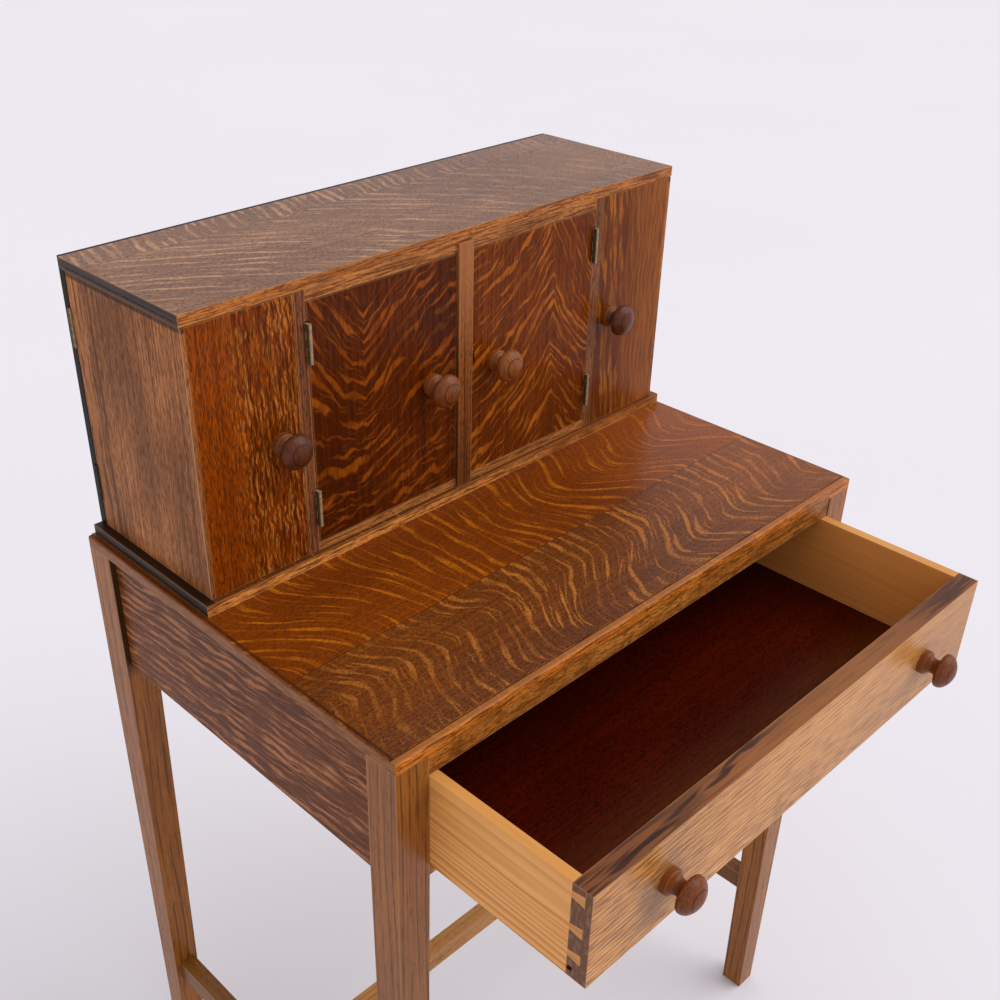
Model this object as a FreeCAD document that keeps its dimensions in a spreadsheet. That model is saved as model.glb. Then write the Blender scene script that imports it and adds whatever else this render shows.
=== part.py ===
import FreeCAD, Part
import math
import os
import re
import Sketcher

# A small oak writing desk: four tapering legs, one wide drawer, and a low cupboard with four doors
# on the back of the desk top. Lengths are in millimetres, +Z is up, the front of the desk faces -Y
# and the floor is at Z = 0. The drawer stands open, as the desk is shown.

SIZES = {
    # desk top
    "table_width": 615.0,
    "table_depth": 429.0,
    "table_height": 765.0,
    "top_thickness": 11.0,
    "front_board_depth": 126.5,
    "quirk_front": 7.0,
    "quirk_side": 3.5,
    "quirk_drop": 0.8,
    "arris_radius": 2.0,
    # legs and frame
    "leg_width": 33.0,
    "foot_width": 26.0,
    "apron_height": 126.5,
    "apron_thickness": 14.0,
    "apron_recess": 6.0,
    "tenon_thickness": 8.0,
    "tenon_length": 14.0,
    "tenon_shoulder": 10.0,
    "mortise_relief": 1.0,
    "rail_recess": 1.0,
    "rail_cheek": 3.0,
    "upper_rail_height": 20.7,
    "upper_rail_depth": 20.0,
    "lower_rail_height": 12.0,
    "stretcher_top": 188.6,
    "stretcher_height": 25.0,
    "stretcher_width": 18.0,
    "stretcher_recess": 5.6,
    "stretcher_tenon": 6.0,
    "stretcher_shoulder": 4.0,
    "cross_stretcher_setback": 205.5,
    "cross_tenon_length": 10.0,
    # drawer bearers
    "runner_ledge": 16.0,
    "runner_tongue_length": 8.0,
    "runner_tongue_thickness": 5.0,
    "guide_height": 15.0,
    "kicker_ledge": 14.0,
    "stop_place": 120.0,
    "stop_width": 40.0,
    "stop_length": 11.0,
    "stop_height": 5.0,
    "stop_gap": 0.3,
    "screw_radius": 2.0,
    "screw_head_radius": 4.0,
    "screw_head_height": 2.6,
    "screw_bite": 7.0,
    "screw_clearance": 0.05,
    "cupboard_screw_place": 230.0,
    "cupboard_screw_setback": 30.0,
    "cupboard_screw_bite": 8.0,
    # drawer
    "drawer_out": 160.8,
    "drawer_side_gap": 0.5,
    "drawer_top_gap": 0.5,
    "drawer_bottom_gap": 0.3,
    "drawer_length": 395.0,
    "drawer_front_thickness": 18.7,
    "drawer_lap": 6.5,
    "drawer_side_thickness": 10.0,
    "drawer_back_thickness": 10.0,
    "drawer_back_setback": 12.0,
    "drawer_back_drop": 6.0,
    "drawer_back_housing": 4.0,
    "drawer_bottom_thickness": 4.5,
    "drawer_bottom_rise": 6.2,
    "drawer_groove": 5.3,
    "tail_end_width": 10.4,
    "tail_root_width": 6.2,
    "tail_first_drop": 10.8,
    "tail_second_drop": 42.8,
    "tail_third_drop": 69.7,
    # drawer knobs, each set back from its end of the drawer
    "left_drawer_knob_setback": 87.5,
    "right_drawer_knob_setback": 85.0,
    "drawer_knob_rise": 45.0,
    "drawer_knob_reach": 31.0,
    "drawer_knob_foot_radius": 11.3,
    "drawer_knob_neck_radius": 6.9,
    "drawer_knob_head_radius": 16.3,
    "drawer_knob_spigot_radius": 5.0,
    "drawer_knob_spigot_length": 14.0,
    # cupboard carcass
    "cupboard_setback": 247.3,
    "cupboard_inset": 14.3,
    "cupboard_back_inset": 3.5,
    "base_inset": 6.0,
    "base_step": 4.9,
    "base_thickness": 11.0,
    "bay_height": 244.8,
    "cap_thickness": 10.0,
    "cap_overhang": 1.0,
    "cap_groove_drop": 6.2,
    "cap_groove_width": 0.9,
    "cap_groove_depth": 0.8,
    "back_board_thickness": 4.0,
    "hanging_strip_thickness": 4.0,
    "hanging_strip_width": 13.0,
    "middle_half_width": 177.5,
    "partition_thickness": 11.0,
    "housing_depth": 3.0,
    "housing_stop": 8.0,
    "middle_bottom_thickness": 8.0,
    "middle_top_thickness": 10.0,
    "board_tongue_length": 4.0,
    "board_tongue_shoulder": 2.0,
    "stile_width": 17.5,
    "stile_proud": 3.0,
    "stile_depth": 13.0,
    "stile_lap": 4.0,
    "stile_top_gap": 1.0,
    # cupboard doors
    "door_gap": 0.6,
    "meeting_gap": 1.0,
    "hinge_gap": 0.8,
    "end_hinge_gap": 1.6,
    "end_side_thickness": 7.0,
    "end_front_thickness": 9.0,
    "corner_lip": 3.5,
    "centre_door_thickness": 11.0,
    # hinges
    "hinge_length": 35.0,
    "hinge_rise": 27.0,
    "centre_hinge_drop": 28.3,
    "end_hinge_drop": 33.8,
    "centre_axis_proud": 3.4,
    "end_axis_proud": 0.5,
    "end_axis_set": 0.6,
    "barrel_radius": 1.9,
    "barrel_clearance": 0.3,
    "pin_radius": 1.0,
    "pin_clearance": 0.05,
    "leaf_thickness": 1.2,
    "leaf_width": 9.0,
    "end_leaf_width": 5.0,
    "recess_overcut": 1.5,
    "knuckle_play": 0.15,
    # cupboard knobs
    "door_knob_rise": 118.4,
    "left_end_knob_setback": 20.5,
    "right_end_knob_setback": 17.5,
    "left_centre_knob_setback": 29.9,
    "right_centre_knob_setback": 31.9,
    "door_knob_reach": 29.3,
    "door_knob_foot_radius": 10.9,
    "door_knob_neck_radius": 6.4,
    "door_knob_head_radius": 15.8,
    "door_knob_spigot_radius": 4.0,
    "door_knob_spigot_length": 7.0,
    # shape shared by both sizes of knob, as shares of the reach and of the foot's or head's radius
    "foot_edge_share": 0.15,
    "foot_top_share": 0.22,
    "foot_shoulder_share": 0.86,
    "neck_share": 0.375,
    "head_under_share": 0.58,
    "under_radius_share": 0.93,
    "head_back_share": 0.645,
    "head_front_share": 0.823,
    "face_radius_share": 0.86,
    "spigot_clearance": 0.05,
    # catches
    "latch_rise": 131.5,
    "latch_length": 15.0,
    "latch_width": 4.5,
    "latch_depth": 5.0,
    "latch_plate": 1.2,
    "latch_thumb": 3.0,
    "ball_radius": 2.2,
    "ball_proud": 0.4,
    "barrel_catch_radius": 3.0,
    "barrel_catch_length": 9.0,
    "barrel_catch_rise": 60.0,
    "barrel_catch_depth": 5.5,
    "strike_length": 18.0,
    "strike_width": 7.0,
    "strike_thickness": 0.8,
    "strike_hole_radius": 1.8,
    # how far every cut runs past the wood
    "overrun": 2.0,
}

# Places and lengths worked out from the sizes above. A distance named half or inner or outer is
# measured from the middle of the desk, and a depth from the middle of the space that the open desk fills.
PLACES = {
    "half_width": "table_width / 2",
    "front": "-(table_depth - drawer_out - drawer_knob_reach) / 2",
    "back": "front + table_depth",
    "top_under": "table_height - top_thickness",
    "apron_bottom": "top_under - apron_height",
    "leg_inner": "half_width - leg_width",
    "leg_front_back": "front + leg_width",
    "leg_back_front": "back - leg_width",
    "apron_outer": "half_width - apron_recess",
    "apron_inner": "apron_outer - apron_thickness",
    "apron_middle": "apron_outer - apron_thickness / 2",
    "back_apron_outer": "back - apron_recess",
    "back_apron_inner": "back_apron_outer - apron_thickness",
    "back_apron_middle": "back_apron_outer - apron_thickness / 2",
    "rail_front": "front + rail_recess",
    "upper_rail_back": "rail_front + upper_rail_depth",
    "upper_rail_low": "top_under - upper_rail_height",
    "runner_top": "apron_bottom + lower_rail_height",
    "leg_at_stretcher": "foot_width + (leg_width - foot_width) * stretcher_top / apron_bottom",
    "stretcher_outer": "half_width - stretcher_recess",
    "stretcher_inner": "stretcher_outer - stretcher_width",
    "stretcher_middle": "stretcher_outer - stretcher_width / 2",
    "stretcher_low": "stretcher_top - stretcher_height",
    "cross_front": "front + cross_stretcher_setback",
    "cross_back": "cross_front + stretcher_width",
    "cross_middle": "cross_front + stretcher_width / 2",
    "runner_inner": "leg_inner - runner_ledge",
    "runner_middle": "apron_bottom + lower_rail_height / 2",
    "kicker_inner": "leg_inner - kicker_ledge",
    "kicker_middle": "(leg_inner + apron_inner) / 2",
    "drawer_half": "leg_inner - drawer_side_gap",
    "drawer_inner": "drawer_half - drawer_side_thickness",
    "drawer_low": "runner_top + drawer_bottom_gap",
    "drawer_high": "upper_rail_low - drawer_top_gap",
    "drawer_face": "front - drawer_out",
    "drawer_shoulder": "drawer_face + drawer_front_thickness",
    "drawer_end": "drawer_face + drawer_length",
    "drawer_floor_low": "drawer_low + drawer_bottom_rise",
    "drawer_floor_high": "drawer_floor_low + drawer_bottom_thickness",
    "drawer_back_far": "drawer_end - drawer_back_setback",
    "drawer_back_near": "drawer_back_far - drawer_back_thickness",
    "base_half": "half_width - base_inset",
    "base_top": "table_height + base_thickness",
    "cupboard_half": "half_width - cupboard_inset",
    "cupboard_front": "front + cupboard_setback",
    "cupboard_back": "back - cupboard_back_inset",
    "back_board_front": "cupboard_back - back_board_thickness",
    "strip_front": "back_board_front - hanging_strip_thickness",
    "cap_half": "cupboard_half + cap_overhang",
    "cap_under": "base_top + bay_height",
    "cap_top": "cap_under + cap_thickness",
    "partition_outer": "middle_half_width + partition_thickness",
    "middle_floor": "base_top + middle_bottom_thickness",
    "middle_ceiling": "cap_under - middle_top_thickness",
    "stile_half": "stile_width / 2",
    "stile_back": "cupboard_front + stile_depth",
    "lap_back": "cupboard_front + stile_lap",
    "end_door_low": "base_top + door_gap",
    "end_door_high": "cap_under - door_gap",
    "end_side_inner": "cupboard_half - end_side_thickness",
    "end_side_back": "strip_front - end_hinge_gap",
    "end_front_back": "cupboard_front + end_front_thickness",
    "corner_lip_inner": "cupboard_half - corner_lip",
    "end_free_edge": "partition_outer + door_gap",
    "centre_door_low": "middle_floor + door_gap",
    "centre_door_high": "middle_ceiling - door_gap",
    "centre_free_edge": "stile_half + meeting_gap",
    "centre_hinge_edge": "middle_half_width - hinge_gap",
    "centre_door_back": "cupboard_front + centre_door_thickness",
    "centre_axis_out": "middle_half_width - hinge_gap / 2",
    "centre_axis_depth": "cupboard_front - centre_axis_proud",
    "end_axis_out": "cupboard_half + end_axis_proud",
    "end_axis_depth": "strip_front + end_axis_set",
    "end_leaf_edge": "end_axis_out - barrel_radius - barrel_clearance",
    "door_knob_height": "base_top + door_knob_rise",
    "latch_middle": "base_top + latch_rise",
    "ball_catch_height": "base_top + barrel_catch_rise",
}

SIDES = ("left", "right")
KICKER_SCREW_SHARES = (0.12, 0.8)
HINGE_LOWS = {
    "end": ("base_top + hinge_rise", "cap_under - end_hinge_drop - hinge_length"),
    "centre": ("base_top + hinge_rise", "cap_under - centre_hinge_drop - hinge_length"),
}
KNUCKLES = 5
FIXED_KNUCKLES = (0, 2, 4)
MOVING_KNUCKLES = (1, 3)

document = FreeCAD.newDocument("WritingDesk")
sheet = document.addObject("Spreadsheet::Sheet", "Sizes")
nodes = []


def fill_sheet():
    """Write every size into the sheet, with its name as the alias of its cell."""
    for row, (name, value) in enumerate(SIZES.items(), start=1):
        sheet.set("A%d" % row, name)
        sheet.set("B%d" % row, str(value))
        sheet.setAlias("B%d" % row, name)
    document.recompute()


def spelled(formula):
    """Write out the worked-out places in a formula and point its sizes at the sheet."""

    def replace(match):
        word = match.group(0)
        if word in PLACES:
            return "(" + spelled(PLACES[word]) + ")"
        if word in SIZES:
            return "Sizes." + word
        return word

    return re.sub(r"[a-z][a-z_]+", replace, str(formula))


def number(formula):
    """The present value of a formula."""
    value = sheet.evalExpression(spelled(formula))
    return getattr(value, "Value", value)


def bind(thing, **formulas):
    """Tie properties to formulas; x, y and z stand for the place of the object."""
    for name, formula in formulas.items():
        target = "Placement.Base." + name if name in ("x", "y", "z") else name
        thing.setExpression(target, spelled(formula))


def keep(thing, label):
    """Name an object as one finished piece of the desk."""
    thing.Label = label
    nodes.append(thing)
    return thing


def less(span):
    """Length of a span given by its two ends."""
    return "(%s) - (%s)" % (span[1], span[0])


def on_side(side, near, far):
    """Span between two distances from the middle of the desk, on its left or right."""
    if side == "right":
        return (near, far)
    return ("-(%s)" % far, "-(%s)" % near)


def at_side(side, distance):
    """One distance from the middle of the desk, on its left or right."""
    return distance if side == "right" else "-(%s)" % distance


def centred(middle, width):
    """Span of a width about its middle."""
    return ("(%s) - (%s) / 2" % (middle, width), "(%s) + (%s) / 2" % (middle, width))


def box(x, y, z):
    """A block between two places on each axis."""
    block = document.addObject("Part::Box", "Block")
    bind(block, x=x[0], y=y[0], z=z[0], Length=less(x), Width=less(y), Height=less(z))
    return block


def rod(axis, x, y, z, radius, length):
    """A round bar that starts at a place and runs along +X, -X, +Y or +Z."""
    turn = {
        "+X": FreeCAD.Rotation(FreeCAD.Vector(0, 1, 0), 90),
        "-X": FreeCAD.Rotation(FreeCAD.Vector(0, 1, 0), -90),
        "+Y": FreeCAD.Rotation(FreeCAD.Vector(1, 0, 0), -90),
        "+Z": FreeCAD.Rotation(),
    }
    bar = document.addObject("Part::Cylinder", "Bar")
    bar.Placement = FreeCAD.Placement(FreeCAD.Vector(), turn[axis])
    bind(bar, x=x, y=y, z=z, Radius=radius, Height=length)
    return bar


def joined(pieces):
    """Several shapes as one."""
    if len(pieces) == 1:
        return pieces[0]
    union = document.addObject("Part::MultiFuse", "Joined")
    union.Shapes = pieces
    union.Refine = True
    return union


def carved(piece, tools):
    """A piece with the tools' shapes taken away."""
    cut = document.addObject("Part::Cut", "Carved")
    cut.Base = piece
    cut.Tool = joined(tools)
    cut.Refine = True
    return cut


def gathered(pieces):
    """Separate solids kept as one group."""
    group = document.addObject("Part::Compound", "Group")
    group.Links = pieces
    return group


def plane(body, role):
    """One of a body's own origin planes."""
    return next(item for item in body.Origin.OriginFeatures if item.Role == role)


def draw(body, role, corners, bends=None):
    """A closed sketch on a body's own plane, with corners and bend radii tied to formulas.

    A bend turns the run that starts at its corner into an arc: +1 curves to the left, -1 to the right.
    """
    bends = bends or {}
    sketch = body.newObject("Sketcher::SketchObject", "Outline")
    sketch.AttachmentSupport = [(plane(body, role), "")]
    sketch.MapMode = "FlatFace"
    spots = [FreeCAD.Vector(number(u), number(v), 0) for u, v in corners]
    starts, ends = [], []
    for index, start in enumerate(spots):
        end = spots[(index + 1) % len(spots)]
        if index in bends:
            radius, turn = number(bends[index][0]), bends[index][1]
            chord = end - start
            across = FreeCAD.Vector(-chord.y, chord.x, 0)
            across.normalize()
            rise = math.sqrt(max(radius ** 2 - (chord.Length / 2) ** 2, 0.0))
            centre = (start + end) * 0.5 + across * rise * turn
            first, last = (start, end) if turn > 0 else (end, start)
            angles = [math.atan2(spot.y - centre.y, spot.x - centre.x) for spot in (first, last)]
            circle = Part.Circle(centre, FreeCAD.Vector(0, 0, 1), radius)
            edge = sketch.addGeometry(Part.ArcOfCircle(circle, *angles))
            sketch.addConstraint(Sketcher.Constraint("Radius", edge, radius))
            sketch.setExpression("Constraints[%d]" % (sketch.ConstraintCount - 1), spelled(bends[index][0]))
            starts.append((edge, 1 if turn > 0 else 2))
            ends.append((edge, 2 if turn > 0 else 1))
        else:
            edge = sketch.addGeometry(Part.LineSegment(start, end))
            starts.append((edge, 1))
            ends.append((edge, 2))
    for index, (u, v) in enumerate(corners):
        sketch.addConstraint(Sketcher.Constraint("Coincident", *ends[index - 1], *starts[index]))
        for kind, formula, value in (("DistanceX", u, spots[index].x), ("DistanceY", v, spots[index].y)):
            sketch.addConstraint(Sketcher.Constraint(kind, -1, 1, *starts[index], value))
            sketch.setExpression("Constraints[%d]" % (sketch.ConstraintCount - 1), spelled(formula))
    return sketch


def new_body(x, y, z, rotation=None):
    """An empty body at a place."""
    body = document.addObject("PartDesign::Body", "Body")
    body.Placement = FreeCAD.Placement(FreeCAD.Vector(), rotation or FreeCAD.Rotation())
    bind(body, x=x, y=y, z=z)
    return body


def pad(body, sketch, length):
    """Raise a sketch into the body."""
    raised = body.newObject("PartDesign::Pad", "Pad")
    raised.Profile = sketch
    bind(raised, Length=length)
    sketch.Visibility = False
    return raised


def rectangle(u, v):
    """Corners of a rectangle between two places each way."""
    return [(u[0], v[0]), (u[1], v[0]), (u[1], v[1]), (u[0], v[1])]


# The stand. Each tenon is one function, which gives the rail its tenon and the leg its mortise.


def side_apron_tenon(side, end, deeper="0"):
    x = on_side(side, *centred("apron_middle", "tenon_thickness"))
    reach = "tenon_length + %s" % deeper
    y = {
        "front": ("leg_front_back - (%s)" % reach, "leg_front_back"),
        "back": ("leg_back_front", "leg_back_front + %s" % reach),
    }[end]
    return box(x, y, ("apron_bottom + tenon_shoulder", "top_under - tenon_shoulder"))


def back_apron_tenon(side, deeper="0"):
    x = on_side(side, "leg_inner", "leg_inner + tenon_length + %s" % deeper)
    y = centred("back_apron_middle", "tenon_thickness")
    return box(x, y, ("apron_bottom + tenon_shoulder", "top_under - tenon_shoulder"))


def upper_rail_tenon(side, deeper="0"):
    x = on_side(side, "leg_inner", "leg_inner + tenon_length + %s" % deeper)
    y = ("rail_front + rail_cheek", "upper_rail_back - rail_cheek")
    return box(x, y, ("upper_rail_low + rail_cheek", "top_under - rail_cheek"))


def lower_rail_tenon(side, deeper="0"):
    x = on_side(side, "leg_inner", "leg_inner + tenon_length + %s" % deeper)
    y = ("rail_front + rail_cheek", "leg_front_back - rail_cheek")
    return box(x, y, ("apron_bottom + rail_cheek", "runner_top - rail_cheek"))


def stretcher_tenon(side, end, deeper="0"):
    x = on_side(side, *centred("stretcher_middle", "stretcher_tenon"))
    reach = "tenon_length + %s" % deeper
    y = {
        "front": ("front + leg_at_stretcher - (%s)" % reach, "front + leg_at_stretcher"),
        "back": ("back - leg_at_stretcher", "back - leg_at_stretcher + %s" % reach),
    }[end]
    return box(x, y, ("stretcher_low + stretcher_shoulder", "stretcher_top - stretcher_shoulder"))


def cross_tenon(side, deeper="0"):
    x = on_side(side, "stretcher_inner", "stretcher_inner + cross_tenon_length + %s" % deeper)
    y = centred("cross_middle", "stretcher_tenon")
    return box(x, y, ("stretcher_low + stretcher_shoulder", "stretcher_top - stretcher_shoulder"))


def leg(side, end):
    """A square leg, straight beside the aprons and tapered on its two inner faces below them."""
    y = {"front": ("front", "leg_front_back"), "back": ("leg_back_front", "back")}[end]
    head = box(on_side(side, "leg_inner", "half_width"), y, ("apron_bottom", "top_under"))
    taper = document.addObject("Part::Wedge", "Taper")
    taper.Placement = FreeCAD.Placement(FreeCAD.Vector(), FreeCAD.Rotation(FreeCAD.Vector(1, 0, 0), 90))
    bind(taper, x=at_side(side, "half_width"), y={"front": "front", "back": "back"}[end], z="0")
    bind(taper, Ymin="0", Ymax="apron_bottom")
    across = ("-{0}", "0") if side == "right" else ("0", "{0}")
    along = ("-{0}", "0") if end == "front" else ("0", "{0}")
    bind(taper, Xmin=across[0].format("foot_width"), Xmax=across[1].format("foot_width"))
    bind(taper, X2min=across[0].format("leg_width"), X2max=across[1].format("leg_width"))
    bind(taper, Zmin=along[0].format("foot_width"), Zmax=along[1].format("foot_width"))
    bind(taper, Z2min=along[0].format("leg_width"), Z2max=along[1].format("leg_width"))
    mortises = [side_apron_tenon(side, end, "mortise_relief"), stretcher_tenon(side, end, "mortise_relief")]
    if end == "front":
        mortises.append(upper_rail_tenon(side, "mortise_relief"))
        mortises.append(lower_rail_tenon(side, "mortise_relief"))
    else:
        mortises.append(back_apron_tenon(side, "mortise_relief"))
    keep(carved(joined([head, taper]), mortises), "%s_%s_leg" % (end, side))


def side_apron(side):
    x = on_side(side, "apron_inner", "apron_outer")
    board = box(x, ("leg_front_back", "leg_back_front"), ("apron_bottom", "top_under"))
    tenons = [side_apron_tenon(side, end) for end in ("front", "back")]
    keep(joined([board] + tenons), "%s_apron" % side)


def back_apron():
    y = ("back_apron_inner", "back_apron_outer")
    board = box(("-leg_inner", "leg_inner"), y, ("apron_bottom", "top_under"))
    keep(joined([board] + [back_apron_tenon(side) for side in SIDES]), "back_apron")


def upper_front_rail():
    y = ("rail_front", "upper_rail_back")
    rail = box(("-leg_inner", "leg_inner"), y, ("upper_rail_low", "top_under"))
    keep(joined([rail] + [upper_rail_tenon(side) for side in SIDES]), "upper_front_rail")


def runner_tongue(side, deeper="0"):
    y = ("leg_front_back - (runner_tongue_length + %s)" % deeper, "leg_front_back")
    z = centred("runner_middle", "runner_tongue_thickness")
    return box(on_side(side, "runner_inner", "leg_inner"), y, z)


def lower_front_rail():
    y = ("rail_front", "leg_front_back")
    rail = box(("-leg_inner", "leg_inner"), y, ("apron_bottom", "runner_top"))
    whole = joined([rail] + [lower_rail_tenon(side) for side in SIDES])
    sockets = [runner_tongue(side, "mortise_relief") for side in SIDES]
    keep(carved(whole, sockets), "lower_front_rail")


def side_stretcher(side):
    x = on_side(side, "stretcher_inner", "stretcher_outer")
    y = ("front + leg_at_stretcher", "back - leg_at_stretcher")
    rail = box(x, y, ("stretcher_low", "stretcher_top"))
    tenons = [stretcher_tenon(side, end) for end in ("front", "back")]
    whole = joined([rail] + tenons)
    keep(carved(whole, [cross_tenon(side, "mortise_relief")]), "%s_side_stretcher" % side)


def cross_stretcher():
    x = ("-stretcher_inner", "stretcher_inner")
    rail = box(x, ("cross_front", "cross_back"), ("stretcher_low", "stretcher_top"))
    keep(joined([rail] + [cross_tenon(side) for side in SIDES]), "cross_stretcher")


# What carries, guides and holds down the drawer.


def drawer_runner(side):
    """Ledge under the drawer side, tongued into the lower rail and run back to the back apron."""
    z = ("apron_bottom", "runner_top")
    between = box(on_side(side, "runner_inner", "apron_inner"), ("leg_front_back", "leg_back_front"), z)
    tail = box(on_side(side, "runner_inner", "leg_inner"), ("leg_back_front", "back_apron_inner"), z)
    keep(joined([between, tail, runner_tongue(side)]), "%s_drawer_runner" % side)


def drawer_guide(side):
    """Strip that fills the space between the apron and the drawer side."""
    z = ("runner_top", "runner_top + guide_height")
    strip = box(on_side(side, "leg_inner", "apron_inner"), ("leg_front_back", "leg_back_front"), z)
    keep(strip, "%s_drawer_guide" % side)


def kicker_screw_place(share):
    return "leg_front_back + (leg_back_front - leg_front_back) * %s" % share


def screw(x, y, z, length, clearance):
    """A countersunk screw that points up, its head at z."""
    shank = rod("+Z", x, y, z, "screw_radius + %s" % clearance, length)
    head = document.addObject("Part::Cone", "Head")
    bind(head, x=x, y=y, z=z, Radius1="screw_head_radius + %s" % clearance)
    bind(head, Radius2="screw_radius + %s" % clearance, Height="screw_head_height")
    return joined([shank, head])


def top_screw(side, share, clearance="0"):
    """Screw up through the kicker into the desk top."""
    place = (at_side(side, "kicker_middle"), kicker_screw_place(share), "upper_rail_low")
    return screw(*place, "upper_rail_height + screw_bite", clearance)


def cupboard_screw_rows():
    return ("cupboard_front + cupboard_screw_setback", "back_board_front - cupboard_screw_setback")


def cupboard_screw(side, y, clearance="0"):
    """Screw up through the desk top into the cupboard's base board."""
    place = (at_side(side, "cupboard_screw_place"), y, "top_under")
    return screw(*place, "top_thickness + cupboard_screw_bite", clearance)


def cupboard_screw_tools():
    return [cupboard_screw(side, y, "screw_clearance") for side in SIDES for y in cupboard_screw_rows()]


def drawer_kicker(side):
    """Bar that keeps the open drawer from tipping and carries the desk top's screws."""
    z = ("upper_rail_low", "top_under")
    inner = on_side(side, "kicker_inner", "leg_inner")
    between = box(on_side(side, "kicker_inner", "apron_inner"), ("leg_front_back", "leg_back_front"), z)
    nose = box(inner, ("upper_rail_back", "leg_front_back"), z)
    tail = box(inner, ("leg_back_front", "back_apron_inner"), z)
    holes = [top_screw(side, share, "screw_clearance") for share in KICKER_SCREW_SHARES]
    keep(carved(joined([between, nose, tail]), holes), "%s_drawer_kicker" % side)


def drawer_stops():
    """Two blocks on the lower rail that the drawer front meets when it is shut."""
    y_low = "front + drawer_front_thickness + stop_gap"
    y = (y_low, y_low + " + stop_length")
    z = ("runner_top", "runner_top + stop_height")
    blocks = [box(on_side(side, "stop_place", "stop_place + stop_width"), y, z) for side in SIDES]
    keep(gathered(blocks), "drawer_stops")


def screws():
    into_top = [top_screw(side, share) for side in SIDES for share in KICKER_SCREW_SHARES]
    keep(gathered(into_top), "top_screws")
    into_base = [cupboard_screw(side, y) for side in SIDES for y in cupboard_screw_rows()]
    keep(gathered(into_base), "cupboard_screws")


# The desk top: two boards glued edge to edge, with a worked edge on the front and the ends.


def top_board(label, near, far, edge_margin, holes):
    """One board: a slab with rounded outer arrises under a field that stands up inside a quirk."""
    depth = "(%s) - (%s)" % (far, near)
    slab_thickness = "top_thickness - quirk_drop"
    body = new_body("-half_width", near, "top_under")
    slab = pad(body, draw(body, "XY_Plane", rectangle(("0", "table_width"), ("0", depth))), slab_thickness)
    document.recompute()
    top = number(slab_thickness)
    width = number("table_width")
    edges = []
    for index, edge in enumerate(slab.Shape.Edges, start=1):
        spot = edge.CenterOfMass
        at_end = math.isclose(spot.x, 0, abs_tol=1e-6) or math.isclose(spot.x, width, abs_tol=1e-6)
        at_front = edge_margin != "0" and math.isclose(spot.y, 0, abs_tol=1e-6)
        if math.isclose(spot.z, top, abs_tol=1e-6) and (at_end or at_front):
            edges.append("Edge%d" % index)
    rounding = body.newObject("PartDesign::Fillet", "Arris")
    rounding.Base = (slab, edges)
    bind(rounding, Radius="arris_radius")
    field = rectangle(("quirk_side", "table_width - quirk_side"), (edge_margin, depth))
    outline = draw(body, "XY_Plane", field)
    pad(body, outline, "top_thickness")
    keep(carved(body, holes), label)


def table_top():
    joint = "front + front_board_depth"
    front_holes = [top_screw(side, KICKER_SCREW_SHARES[0], "screw_clearance") for side in SIDES]
    back_holes = [top_screw(side, KICKER_SCREW_SHARES[1], "screw_clearance") for side in SIDES]
    top_board("table_top_front_board", "front", joint, "quirk_front", front_holes)
    top_board("table_top_back_board", joint, "back", "0", back_holes + cupboard_screw_tools())


# The drawer: an oak front with pine sides dovetailed into its ends behind a lap.


def tail(side, drop):
    """One dovetail: it widens from the drawer side into the end of the drawer front."""
    reach = "drawer_front_thickness - drawer_lap"
    middle = "drawer_high - drawer_low - (%s)" % drop
    low_end, high_end = centred(middle, "tail_end_width")
    low_root, high_root = centred(middle, "tail_root_width")
    x = on_side(side, "drawer_inner", "drawer_half")[0]
    body = new_body(x, "drawer_face + drawer_lap", "drawer_low")
    corners = [("0", low_end), (reach, low_root), (reach, high_root), ("0", high_end)]
    pad(body, draw(body, "YZ_Plane", corners), "drawer_side_thickness")
    return body


def tails(side):
    return [tail(side, drop) for drop in ("tail_first_drop", "tail_second_drop", "tail_third_drop")]


def drawer_bottom_board():
    half = "drawer_inner + drawer_groove"
    y = ("drawer_shoulder - drawer_groove", "drawer_end - drawer_back_setback")
    return box(("-(%s)" % half, half), y, ("drawer_floor_low", "drawer_floor_high"))


def drawer_back_board():
    half = "drawer_inner + drawer_back_housing"
    z = ("drawer_floor_high", "drawer_high - drawer_back_drop")
    return box(("-(%s)" % half, half), ("drawer_back_near", "drawer_back_far"), z)


def drawer_side(side):
    """A pine side with its three tails, the groove for the bottom and the housing for the back."""
    x = on_side(side, "drawer_inner", "drawer_half")
    board = box(x, ("drawer_shoulder", "drawer_end"), ("drawer_low", "drawer_high"))
    groove_y = ("drawer_shoulder - overrun", "drawer_end + overrun")
    groove_x = on_side(side, "drawer_inner - overrun", "drawer_inner + drawer_groove")
    groove = box(groove_x, groove_y, ("drawer_floor_low", "drawer_floor_high"))
    keep(carved(joined([board] + tails(side)), [groove, drawer_back_board()]), "drawer_%s_side" % side)


def drawer_front():
    """The oak front: sockets for the tails at each end and a groove right through for the bottom."""
    x = ("-drawer_half", "drawer_half")
    board = box(x, ("drawer_face", "drawer_shoulder"), ("drawer_low", "drawer_high"))
    groove_y = ("drawer_shoulder - drawer_groove", "drawer_shoulder + overrun")
    groove_x = ("-(drawer_half + overrun)", "drawer_half + overrun")
    tools = [box(groove_x, groove_y, ("drawer_floor_low", "drawer_floor_high"))]
    for side in SIDES:
        tools += tails(side)
        tools.append(drawer_knob_hole(side))
    keep(carved(board, tools), "drawer_front")


# Turned knobs: a foot, a waisted neck and a domed mushroom head, with a spigot let into the wood.


def arc_along_axis(start, end):
    """Radius of the arc between two points that runs along the second axis at one of them."""
    across = "(%s - %s)" % (start[0], end[0])
    along = "(%s - %s)" % (start[1], end[1])
    return "(%s ^ 2 + %s ^ 2) / 2 / abs(%s)" % (across, along, across)


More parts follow.
